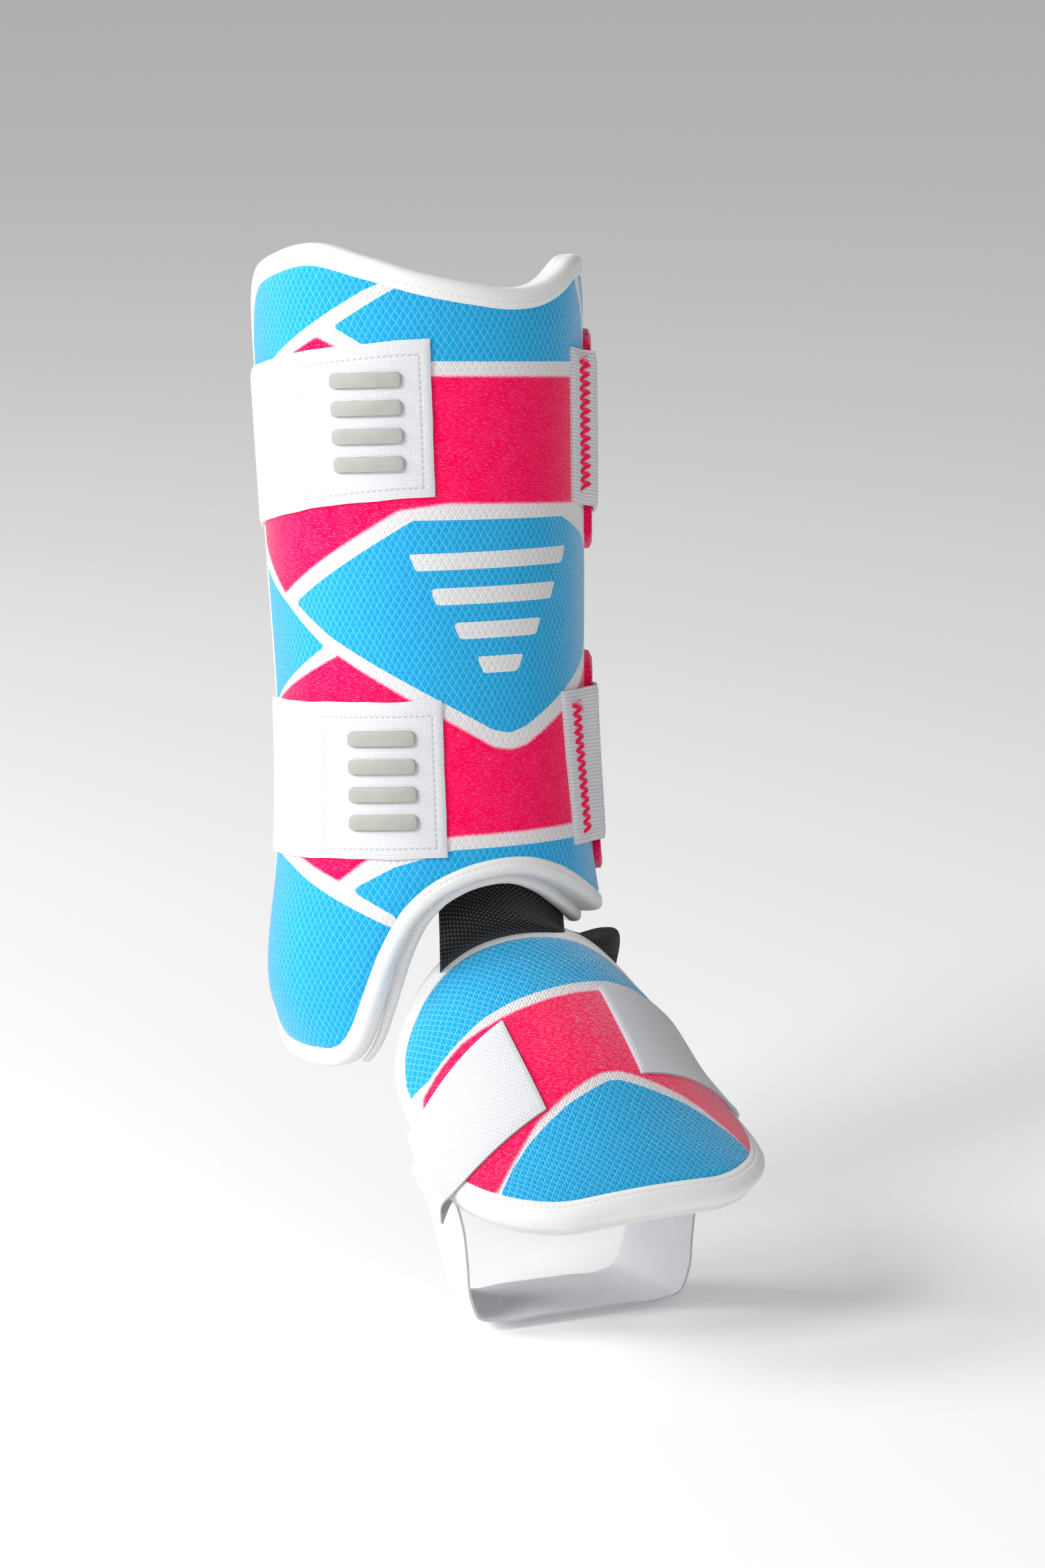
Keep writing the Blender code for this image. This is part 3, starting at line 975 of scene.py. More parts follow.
def finish_piece(name: str, mesh: Mesh, material: Material,
                 stands_for: Sequence[str] = ()) -> bpy.types.Object:
    """Link a finished mesh as a piece of the guard.

    Args:
        name: Piece name.
        mesh: Mesh in world metres.
        material: Its finish.
        stands_for: CAD nodes that it replaces.

    Returns:
        The new object.
    """
    piece = bpy.data.objects.new(name, mesh)
    bpy.context.collection.objects.link(piece)
    mesh.materials.append(material)
    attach(piece, "root")
    if stands_for:
        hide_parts(*stands_for)
    log.info("%s: %d faces", name, len(mesh.polygons))
    return piece


def grid_mesh(name: str, columns: int, rows: int, closed: bool) -> tuple[Mesh, Array]:
    """Make a flat grid, to be laid on a surface.

    Args:
        name: Mesh name.
        columns: Cells along the first direction.
        rows: Cells along the second direction.
        closed: Whether it gets an under face and sides.

    Returns:
        The mesh and its points, from -1 to 1 both ways, with the under face at -1.
    """
    shape = bmesh.new()
    bmesh.ops.create_grid(shape, x_segments=columns, y_segments=rows, size=1.0)
    if closed:
        under = bmesh.ops.extrude_face_region(shape, geom=shape.faces[:], use_keep_orig=True)
        lowered = [item for item in under["geom"] if isinstance(item, bmesh.types.BMVert)]
        bmesh.ops.translate(shape, verts=lowered, vec=(0.0, 0.0, -1.0))
        bmesh.ops.recalc_face_normals(shape, faces=shape.faces[:])
    mesh = bpy.data.meshes.new(name)
    shape.to_mesh(mesh)
    shape.free()
    spots = np.empty(len(mesh.vertices) * 3)
    mesh.vertices.foreach_get("co", spots)
    return mesh, spots.reshape(-1, 3)


def lay(mesh: Mesh, points: Array, flat: Array) -> None:
    """Move a mesh's points, and keep their flat places as its UV map.

    Args:
        mesh: Mesh to lay.
        points: World point for each of its points.
        flat: Flat point for each of them.
    """
    mesh.vertices.foreach_set("co", points.astype(np.float32).ravel())
    corner = np.empty(len(mesh.loops), np.int32)
    mesh.loops.foreach_get("vertex_index", corner)
    layer = mesh.uv_layers.new(name="flat")
    layer.uv.foreach_set("vector", flat[corner].astype(np.float32).ravel())


def slab(name: str, columns: int, rows: int, wall: float, place: Place, flat: Flat,
         reach: Reach | None = None) -> Mesh:
    """Lay a slab of a grid on a surface.

    Args:
        name: Mesh name.
        columns: Cells along the first direction.
        rows: Cells along the second direction.
        wall: Thickness.
        place: World points for column numbers, row shares and depths.
        flat: Flat points for column numbers and row shares.
        reach: Distance of flat points inside a colour's panels, for a printed slab.

    Returns:
        The mesh.
    """
    mesh, spots = grid_mesh(name, columns, rows, True)
    column, row = (spots[:, 0] + 1.0) / 2.0 * columns, (spots[:, 1] + 1.0) / 2.0
    laid = flat(column, row)
    lay(mesh, place(column, row, -spots[:, 2] * wall), laid)
    for panel in Panel if reach else ():
        attribute = mesh.attributes.new(panel.value, "FLOAT", "POINT")
        printed = np.where(spots[:, 2] < -0.5, UNPRINTED, reach(panel, laid))
        attribute.data.foreach_set("value", printed.astype(np.float32))
    mesh.shade_smooth()
    mesh.set_sharp_from_angle(angle=np.radians(50.0))
    mesh.update()
    return mesh


def rolled_tape(name: str, flat: Array, widths: Array, thick: float, place: Callable, ring: int = 20,
                cyclic: bool = True) -> Mesh:
    """Tape folded over an edge: a flattened tube along a flat path laid on a surface.

    Args:
        name: Mesh name.
        flat: Points of its middle line in the flat.
        widths: Half width at each point.
        thick: Half thickness.
        place: World points for flat points and depths from the middle of the wall.
        ring: Cells round the tube.
        cyclic: Whether the path closes on itself.

    Returns:
        The mesh, with its UV map as length along and distance round the tube.
    """
    if cyclic:
        tangent = np.roll(flat, -1, axis=0) - np.roll(flat, 1, axis=0)
        flat, widths, tangent = (np.concatenate((row, row[:1])) for row in (flat, widths, tangent))
    else:
        tangent = np.gradient(flat, axis=0)
    tangent = tangent / np.linalg.norm(tangent, axis=1)[:, None]
    outward = np.stack((tangent[:, 1], -tangent[:, 0]), axis=1)
    count = len(flat)
    mesh, spots = grid_mesh(name, count - 1, ring, False)
    step = np.rint((spots[:, 0] + 1.0) / 2.0 * (count - 1)).astype(int)
    turn = (spots[:, 1] + 1.0) * np.pi
    side, lift = rounded(np.cos(turn), 0.75), rounded(np.sin(turn), 0.62)
    shrink = np.ones(count)
    if not cyclic:
        shrink[[0, -1]] = TAPE_END
    middle = flat[step] + outward[step] * (side * widths[step] * shrink[step])[:, None]
    around = -side * widths[step] * np.where(lift >= -0.2, 1.0, TAPE_UNDER)
    lay(mesh, place(middle, -lift * thick * shrink[step]),
        np.stack((run_along(flat)[step], around), axis=1))
    shape = bmesh.new()
    shape.from_mesh(mesh)
    bmesh.ops.remove_doubles(shape, verts=shape.verts[:], dist=1e-6)
    if not cyclic:
        bmesh.ops.holes_fill(shape, edges=[edge for edge in shape.edges if edge.is_boundary], sides=0)
    bmesh.ops.recalc_face_normals(shape, faces=shape.faces[:])
    shape.to_mesh(mesh)
    shape.free()
    mesh.shade_smooth()
    mesh.update()
    return mesh


@dataclass(frozen=True)
class Padding:
    """How a pad's face is tucked in at its rim and puffed in its field, in metres."""

    cell: float
    height: float
    tuck: float
    tuck_reach: float
    puff: float
    puff_reach: float
    inner: float = 0.0

    def shift(self, column: Array, row: Array, columns: int, outer: Array) -> Array:
        """Depth that the padding adds to a grid's points.

        Args:
            column: Column numbers.
            row: Row shares.
            columns: Number of columns.
            outer: Whether each point is on the outer face.

        Returns:
            Depth for each point, negative where the face is puffed.
        """
        rim = rim_distance(column, row, columns, self.cell, self.height)
        tuck = (1.0 - ease(rim / self.tuck_reach)) * self.tuck
        return np.where(outer, tuck - ease(rim / self.puff_reach) * self.puff, self.inner)


def printed_pad(name: str, outline: Outline, rolls: tuple, wall: float, padding: Padding, laid_on: Laid,
                reach: Reach, knit: Material) -> None:
    """Build a printed pad inside its rolled edge.

    Args:
        name: CAD node that it stands for.
        outline: Its outline in the flat.
        rolls: Radius of the rolled edge below and above.
        wall: Its thickness.
        padding: Its tuck and puff.
        laid_on: World points for flat points and depths.
        reach: Distance of flat points inside a colour's panels.
        knit: Its finish.
    """
    grid = outline.grid(PAD_INSET * outline.between(*rolls))

    def place(column: Array, row: Array, depth: Array) -> Array:
        """World points of the pad."""
        shift = padding.shift(column, row, outline.columns, depth < wall / 2)
        return laid_on(grid(column, row), depth + shift)

    mesh = slab(name + "_knit", outline.columns, outline.rows, wall, place, grid, reach)
    pad = finish_piece(name + "_knit", mesh, knit, (name,))


def rolled_edge(name: str, outline: Outline, rolls: tuple, wall: float, thick: float, laid_on: Laid,
                tape: Material) -> None:
    """Build the tape that is rolled round a pad's edge.

    Args:
        name: CAD node that it stands for.
        outline: The pad's outline in the flat.
        rolls: Radius of the rolled edge below and above.
        wall: The pad's thickness.
        thick: Thickness of the tape over each face.
        laid_on: World points for flat points and depths.
        tape: Its finish.
    """
    radii = outline.between(*rolls)
    mesh = rolled_tape(name + "_tape", outline.inset(radii), radii * TAPE_SPREAD, wall / 2 + thick,
                       lambda flat, depth: laid_on(flat, wall / 2 + depth))
    finish_piece(name + "_tape", mesh, tape, (name,))


def thread(name: str, points: Array, radius: float, material: Material) -> None:
    """Sewing thread as a round tube.

    Args:
        name: Piece name.
        points: World points along it.
        radius: Its radius.
        material: Its finish.
    """
    curve = bpy.data.curves.new(name, "CURVE")
    curve.dimensions = "3D"
    curve.bevel_depth = radius
    curve.bevel_resolution = 2
    curve.use_fill_caps = True
    spline = curve.splines.new("POLY")
    spline.points.add(len(points) - 1)
    for knot, point in zip(spline.points, points):
        knot.co = (*point, 1.0)
    holder = bpy.data.objects.new(name + "_path", curve)
    bpy.context.collection.objects.link(holder)
    mesh = bpy.data.meshes.new_from_object(holder.evaluated_get(bpy.context.evaluated_depsgraph_get()))
    bpy.data.objects.remove(holder)
    bpy.data.curves.remove(curve)
    mesh.shade_smooth()
    finish_piece(name, mesh, material)


# Sub-assemblies


@dataclass
class ShinGuard:
    """Printed shin shell with its rolled edge and its liner lip."""

    form: ShinForm
    side_angles: tuple = (-120.0, 100.0)
    corner: float = 0.021
    rolls: tuple = (0.0037, 0.0044)
    tape_thick: float = 0.0006
    cells: tuple = (152, 200)
    tape_cells: tuple = (360, 150)
    liner_cells: tuple = (96, 80)
    padding: Padding = Padding(0.0015, 0.285, 0.0012, 0.0045, 0.0006, 0.016, inner=-0.0004)
    lip_radius: float = 0.0023
    lip_out: float = 0.0024
    lip_turns: tuple = (-64.0, 88.0)
    upper_edge: tuple = (
        (-120.0, 0.945), (-105.0, 0.972), (-87.0, 0.990), (-68.0, 1.000), (-42.0, 0.978),
        (-25.0, 0.959), (-7.0, 0.945), (7.0, 0.938), (19.0, 0.941), (31.0, 0.954),
        (42.0, 0.970), (60.0, 0.975), (80.0, 0.960), (100.0, 0.945),
    )
    lower_edge: tuple = (
        (-120.0, 0.018), (-95.0, 0.005), (-80.0, 0.000), (-68.0, 0.003), (-62.0, 0.014),
        (-56.0, 0.040), (-51.0, 0.078), (-45.0, 0.128), (-38.0, 0.170), (-29.0, 0.200),
        (-18.0, 0.219), (-6.0, 0.228), (6.0, 0.228), (20.0, 0.216), (38.0, 0.192),
        (58.0, 0.168), (80.0, 0.160), (100.0, 0.160),
    )
    blue_panels: tuple = (
        ((-140, 160), (-36, 114), (-46.4, 110), (-84, 90), (-112, 74), (-140, 60)),
        ((-58, 98), (-47, 91.5), (-30, 85.5), (-20, 85), (38, 82.7), (57, 82.5), (52, 97),
         (45, 108.5), (42, 130), (-30, 130), (-34, 111), (-40, 108)),
        ((51, 130), (50, 108), (57, 97), (62, 83), (110, 82), (110, 130)),
        ((-83, 3), (-32, 31), (30, 29.6), (48, 22.5), (56, 17.6), (60, 9), (60, -6), (54, -19),
         (30, -31), (9, -41.6), (2, -43.6), (-5, -42.2), (-66, -8.5)),
        ((-69, -12), (-88, 2), (-117, 19), (-140, 32), (-140, -48), (-107, -32)),
        ((-60, -96), (-43, -88), (-22, -82.8), (38, -82.2), (110, -80), (110, -112), (62, -110),
         (46, -100), (36, -96.5), (24, -91.5), (12, -87.6), (0, -87.2), (-12, -89), (-28, -97),
         (-43, -107), (-44, -104.8)),
        ((-140, -76), (-105, -84), (-90, -88.5), (-70, -97.5), (-45, -109), (-30, -118),
         (-30, -175), (-140, -175)),
        ((44, -103), (56, -110), (70, -113), (70, -130), (30, -130)),
    )
    pink_panels: tuple = (
        ((-65, 94.7), (-55, 90), (-30, 80.3), (-22, 80), (38, 77.4), (110, 77), (110, 34),
         (60, 33.5), (38, 34), (-20, 36.5), (-37, 34.6), (-90, 6), (-117, 29), (-140, 42),
         (-140, 58), (-112, 69), (-75, 90)),
        ((-63, -15), (-105, -32), (-140, -48), (-140, -70), (-105, -79), (-83, -86), (-65, -93),
         (-53, -85), (-30, -79), (-20, -78), (38, -77.3), (110, -76), (110, -10), (66, -4),
         (64, -13), (57, -24), (31, -37), (9, -48), (2, -49.4), (-5, -48.2)),
    )
    bar_levels: tuple = (16.5, 4.5, -7.5, -19.5)
    bar_halves: tuple = (33.0, 26.0, 18.0, 9.5)
    bar_half_height: float = 2.9
    bar_slant: float = 2.4
    bar_turn: float = -1.0

    def outline(self, columns: int, rows: int) -> Outline:
        """Outline of the shell in the flat.

        Args:
            columns: Cells along the lower edge.
            rows: Cells up the sides.

        Returns:
            The outline.
        """
        degree, form = self.form.degree, self.form
        return Outline(
            (self.side_angles[0] * degree, self.side_angles[1] * degree),
            lambda across: form.level_height(smooth(self.lower_edge, 1, across / degree)),
            lambda across: form.level_height(smooth(self.upper_edge, 1, across / degree)),
            (self.corner, self.corner), (self.corner, self.corner), columns, rows)

    def on_shell(self, flat: Array, depth: Array) -> Array:
        """World points of flat points."""
        return self.form.points(flat[:, 0] / self.form.degree, flat[:, 1], depth)

    def panel_reach(self, panel: Panel, flat: Array) -> Array:
        """Distance inside the panels of one colour, in metres.

        Args:
            panel: Colour of the panels.
            flat: Flat points in metres.

        Returns:
            Distance for each point, positive inside.
        """
        scale = self.form.degree * 1000.0
        across, along = flat[:, 0] * 1000.0, flat[:, 1] * 1000.0
        outlines = self.blue_panels if panel is Panel.BLUE else self.pink_panels
        reach = widest_reach([[(turn * scale, height) for turn, height in corners]
                              for corners in outlines], across, along)
        if panel is Panel.BLUE:
            for level, half in zip(self.bar_levels, self.bar_halves):
                high, low = level + self.bar_half_height, level - self.bar_half_height
                short = half - self.bar_slant
                bar = [((turn + self.bar_turn) * scale, height)
                       for turn, height in ((-half, high), (half, high), (short, low), (-short, low))]
                reach = np.minimum(reach, -reach_inside(bar, across, along))
        return reach / 1000.0

    def build(self, knit: Material, tape: Material, lining: Material) -> None:
        """Build the shell, its binding and its liner.

        Args:
            knit: Finish of the shell.
            tape: Finish of the binding and the lip.
            lining: Finish of the liner.
        """
        printed_pad("shin_shell", self.outline(*self.cells), self.rolls, self.form.wall, self.padding,
                    self.on_shell, self.panel_reach, knit)
        rolled_edge("shin_binding", self.outline(*self.tape_cells), self.rolls, self.form.wall,
                    self.tape_thick, self.on_shell, tape)
        self.build_liner(lining)
        self.build_lip(tape)

    def build_liner(self, lining: Material) -> None:
        """Build the liner, which reaches past the shell's edge under the arch.

        Args:
            lining: Finish of the liner.
        """
        outline = self.outline(*self.liner_cells)
        radii = outline.between(*self.rolls)
        turn = outline.loop()[:, 0] / self.form.degree
        arch = ease((turn + 48.0) / 16.0) * (outline.between(1.0, 0.0) == 1.0)
        grid = outline.grid(radii - (radii + self.lip_out) * arch)
        start = self.form.wall + self.form.liner_gap

        def place(column: Array, row: Array, depth: Array) -> Array:
            """World points of the liner."""
            return self.on_shell(grid(column, row), start + depth)

        mesh = slab("shin_liner_knit", *self.liner_cells, self.form.liner_wall, place, grid)
        finish_piece("shin_liner_knit", mesh, lining, ("shin_liner",))

    def build_lip(self, tape: Material) -> None:
        """Build the rolled lip that shows under the arch.

        Args:
            tape: Finish of the lip.
        """
        columns, radius, first = self.tape_cells[0], self.lip_radius, self.lip_turns[0]
        fine = self.outline(columns, 10)
        low = fine.inset(fine.between(0.0, 0.0) - radius * 0.55)[:columns + 1]
        turn = low[:, 0] / self.form.degree
        seen = (turn > first) & (turn < self.lip_turns[1])
        start = self.form.wall + self.form.liner_gap - 0.0004
        widths = radius * (0.35 + 0.65 * ease((turn[seen] - first) / 22.0))
        mesh = rolled_tape("shin_liner_lip", low[seen], widths, radius,
                           lambda flat, depth: self.on_shell(flat, start + depth), 14, False)
        finish_piece("shin_liner_lip", mesh, tape)


@dataclass
class LegStrap:
    """Wide elastic strap with its stitched tab, grip bars, zigzag and pile patch."""

    form: ShinForm
    name: str
    level: float
    tilt: float
    width: float = 0.054
    wall: float = 0.0018
    free_end: float = -24.0
    sewn_end: float = 33.0
    patch_front: float = 57.0
    patch_back: float = 96.0
    patch_height: float = 0.077
    patch_wall: float = 0.0026
    patch_gap: float = 0.0008
    patch_corner: float = 0.009
    patch_cells: tuple = (48, 90)
    behind_end: float = 234.0
    calf_bulge: float = 0.003
    calf_turns: tuple = (100.0, 140.0)
    cells: tuple = (420, 24)
    cut_share: float = 0.03
    cut_wave: float = 0.10
    edge_wave: float = 0.00022
    rim_reach: float = 0.0012
    rim_drop: float = 0.00045
    sag: float = 0.00025
    bar_count: int = 4
    bar_pitch: float = 0.0096
    bar_size: tuple = (0.025, 0.0052, 0.0012)
    bar_turn: float = -46.5
    bar_corner: float = 0.0016
    bar_rim: float = 0.0004
    bar_cuts: int = 12
    sewn_slant: float = 0.0
    zigzags: int = 14
    zigzag_place: float = 9.5
    zigzag_throw: float = 3.9
    yarn_radius: float = 0.00066
    tuft_radius: float = 0.00016
    tufts: tuple = ((5.5, 0.0), (4.0, 0.0028), (6.5, -0.0018))
    gap: float = 0.0003

    def middle(self, turn: Array) -> Array:
        """Height of the strap's middle line."""
        return self.form.level_height(self.level) + self.tilt * np.cos(np.radians(turn + 22.5))

    def lift(self, turn: Array) -> Array:
        """Height of the outer face over the shell.

        Args:
            turn: Turn about the axis, from the sewn end onwards.

        Returns:
            Height for each turn: up over the patch, down again behind it and out at the back.
        """
        over_shell = self.gap + self.wall
        climb = ease((turn - self.patch_front + 11.0) / 9.5)
        behind = ease((turn - self.patch_back - 1.5) / (self.behind_end - self.patch_back))
        start, span = self.calf_turns
        calf = self.calf_bulge * np.sin(np.pi * np.clip((turn - start) / span, 0.0, 1.0)) ** 2
        return over_shell + (self.patch_gap + self.patch_wall) * climb * (1.0 - behind) + calf

    def build(self, elastic: Material, rubber: Material, pile: Material,
              yarn: Material) -> None:
        """Build the strap and what is on it.

        Args:
            elastic: Finish of the strap.
            rubber: Finish of the grip bars.
            pile: Finish of the patch.
            yarn: Finish of the zigzag thread.
        """
        columns, rows = self.cells
        end = 360.0 + self.free_end
        degree = self.form.degree * 1.09

        def turns(column: Array, row: Array) -> Array:
            """Turn of each column, with both cut ends a little uneven.

            Args:
                column: Column numbers.
                row: Row shares.

            Returns:
                Turn in degrees for each point.
            """
            share, cut = column / columns, self.cut_share
            near = np.maximum(ease((share - 1.0 + cut) / cut), ease((cut - share) / cut))
            uneven = near * self.cut_wave * wave(row * 14.0, self.level * 9)
            slant = (1.0 - share) ** 6 * self.sewn_slant * (1.0 - 2.0 * row)
            return self.sewn_end + (end - self.sewn_end) * share + uneven + slant

        def place(column: Array, row: Array, depth: Array) -> Array:
            """World points of the strap.

            Args:
                column: Column numbers.
                row: Row shares.
                depth: Depth under the outer face.

            Returns:
                World points as rows of three numbers.
            """
            turn = turns(column, row)
            edge = self.edge_wave * wave(turn * 0.16, 4.0 + self.level) * np.abs(2.0 * row - 1.0) ** 8
            height = self.middle(turn) + (row - 0.5) * self.width + edge
            rim = rim_distance(column, row, columns, 0.0007, self.width)
            soft = self.rim_drop * (1.0 - ease(rim / self.rim_reach))
            soft = soft * np.where(depth < self.wall / 2, 1.0, -0.4)
            sag = self.sag * wave(turn * 0.09, self.level * 20.0) * np.sin(np.pi * row)
            return self.form.points(turn, height, depth - self.lift(turn) + soft - np.maximum(sag, 0.0))

        def flat(column: Array, row: Array) -> Array:
            """Distance from the free end and height from the middle line."""
            return np.stack(((end - turns(column, row)) * degree, (row - 0.5) * self.width), axis=1)

        mesh = slab(self.name + "_elastic", columns, rows, self.wall, place, flat)
        piece = finish_piece(self.name + "_elastic", mesh, elastic, (self.name,))
        self.build_patch(pile)
        self.build_bars(rubber)
        self.build_zigzag(yarn)

    def build_patch(self, pile: Material) -> None:
        """Build the pile patch on the outer side.

        Args:
            pile: Finish of the patch.
        """
        form, wall, (columns, rows) = self.form, self.patch_wall, self.patch_cells
        degree, corner = form.degree, (self.patch_corner, self.patch_corner)
        centre = self.middle((self.patch_front + self.patch_back) / 2)
        outline = Outline((self.patch_front * degree, self.patch_back * degree),
                          lambda across: 0.0 * across + centre - self.patch_height / 2,
                          lambda across: 0.0 * across + centre + self.patch_height / 2,
                          corner, corner, columns, rows)
        grid = outline.grid(outline.between(0.0, 0.0))

        def place(column: Array, row: Array, depth: Array) -> Array:
            """World points of the patch, its rim rounded and its face slightly uneven.

            Args:
                column: Column numbers.
                row: Row shares.
                depth: Depth under the outer face.

            Returns:
                World points as rows of three numbers.
            """
            flat = grid(column, row)
            rim = rim_distance(column, row, columns, 0.00072, self.patch_height)
            fuzz = 0.00016 * wave(flat[:, 0] * 2600.0, 1.0) * wave(flat[:, 1] * 2100.0, 2.0)
            drop = 0.0009 * (1.0 - ease(rim / 0.002)) + fuzz
            return form.points(flat[:, 0] / degree, flat[:, 1],
                               depth - self.patch_gap - wall + np.where(depth < wall / 2, drop, 0.0007))

        name = self.name.replace("_strap", "_pile_patch")
        mesh = slab(name + "_cloth", columns, rows, wall, place, grid)
        finish_piece(name + "_cloth", mesh, pile, (name,))

    def build_bars(self, rubber: Material) -> None:
        """Build the raised grip bars of the tab.

        Args:
            rubber: Finish of the bars.
        """
        length, tall, wall = self.bar_size
        lift = self.wall + 2 * self.gap
        centre = self.middle(np.array(self.bar_turn))
        for number in range(self.bar_count):
            shape = bmesh.new()
            bmesh.ops.create_cube(shape, size=1.0)
            bmesh.ops.scale(shape, verts=shape.verts[:], vec=(length, tall, wall))
            upright = [edge for edge in shape.edges
                       if abs(edge.verts[0].co.z - edge.verts[1].co.z) > wall / 2]
            bmesh.ops.bevel(shape, geom=upright, offset=self.bar_corner, segments=5, profile=0.5,
                            affect="EDGES", material=-1)
            rim = [edge for edge in shape.edges
                   if min(vert.co.z for vert in edge.verts) > 0.0 and len(edge.link_faces) == 2
                   and abs(edge.link_faces[0].normal.z - edge.link_faces[1].normal.z) > 0.5]
            bmesh.ops.bevel(shape, geom=rim, offset=self.bar_rim, segments=3, profile=0.5,
                            affect="EDGES", material=-1)
            for step in range(1, self.bar_cuts):
                cut = (step / self.bar_cuts - 0.5) * (length - 0.0034)
                bmesh.ops.bisect_plane(shape, geom=shape.verts[:] + shape.edges[:] + shape.faces[:],
                                       plane_co=(cut, 0.0, 0.0), plane_no=(1.0, 0.0, 0.0), dist=1e-7)
            spots = np.array([vertex.co for vertex in shape.verts])
            height = centre + (number - 1.5) * self.bar_pitch + spots[:, 1]
            turn = self.bar_turn + np.degrees(spots[:, 0] / (self.form.width / 2))
            points = self.form.points(turn, height, -lift - wall / 2 - spots[:, 2])
            for vertex, point in zip(shape.verts, points):
                vertex.co = point
            bmesh.ops.recalc_face_normals(shape, faces=shape.faces[:])
            name = self.name.replace("_strap", "_tab_bar_") + str(number + 1)
            mesh = bpy.data.meshes.new(name + "_rubber")
            shape.to_mesh(mesh)
            shape.free()
            mesh.shade_smooth()
            mesh.set_sharp_from_angle(angle=np.radians(38.0))
            finish_piece(name + "_rubber", mesh, rubber, (name,))

    def build_zigzag(self, yarn: Material) -> None:
        """Build the zigzag thread that sews the end down, with a loose tuft at its top.

        Args:
            yarn: Finish of the thread.
        """
        steps = 2 * self.zigzags + 1
        share = np.linspace(0.0, 1.0, steps)
        height = self.middle(np.array(self.sewn_end)) - 0.0008 + (0.5 - share) * (self.width - 0.0095)
        slant = self.sewn_slant * (share - 0.5) * -2.0
        throw = np.where(np.arange(steps) % 2 == 0, -self.zigzag_throw, self.zigzag_throw)
        turn = self.sewn_end + self.zigzag_place - slant + throw
        fine = np.linspace(0.0, steps - 1, steps * 6)
        turn_fine = np.interp(fine, np.arange(steps), turn)
        height_fine = np.interp(fine, np.arange(steps), height)
        dip = 0.0004 * np.cos(np.pi * fine) ** 8
        points = self.form.points(turn_fine, height_fine, dip - self.lift(turn_fine) - 0.0002)
        thread(self.name + "_zigzag", points, self.yarn_radius, yarn)
        for number, (far, rise) in enumerate(self.tufts):
            run = np.linspace(0.0, 1.0, 10)
            tuft_turn = turn[0] + far * run
            tuft = self.form.points(tuft_turn, height[0] + rise * run + 0.0006 * np.sin(5 * run),
                                    -self.lift(tuft_turn) - 0.0004 - 0.0016 * np.sin(np.pi * run * 0.8))
            thread(self.name + "_tuft_" + str(number + 1), tuft, self.tuft_radius, yarn)


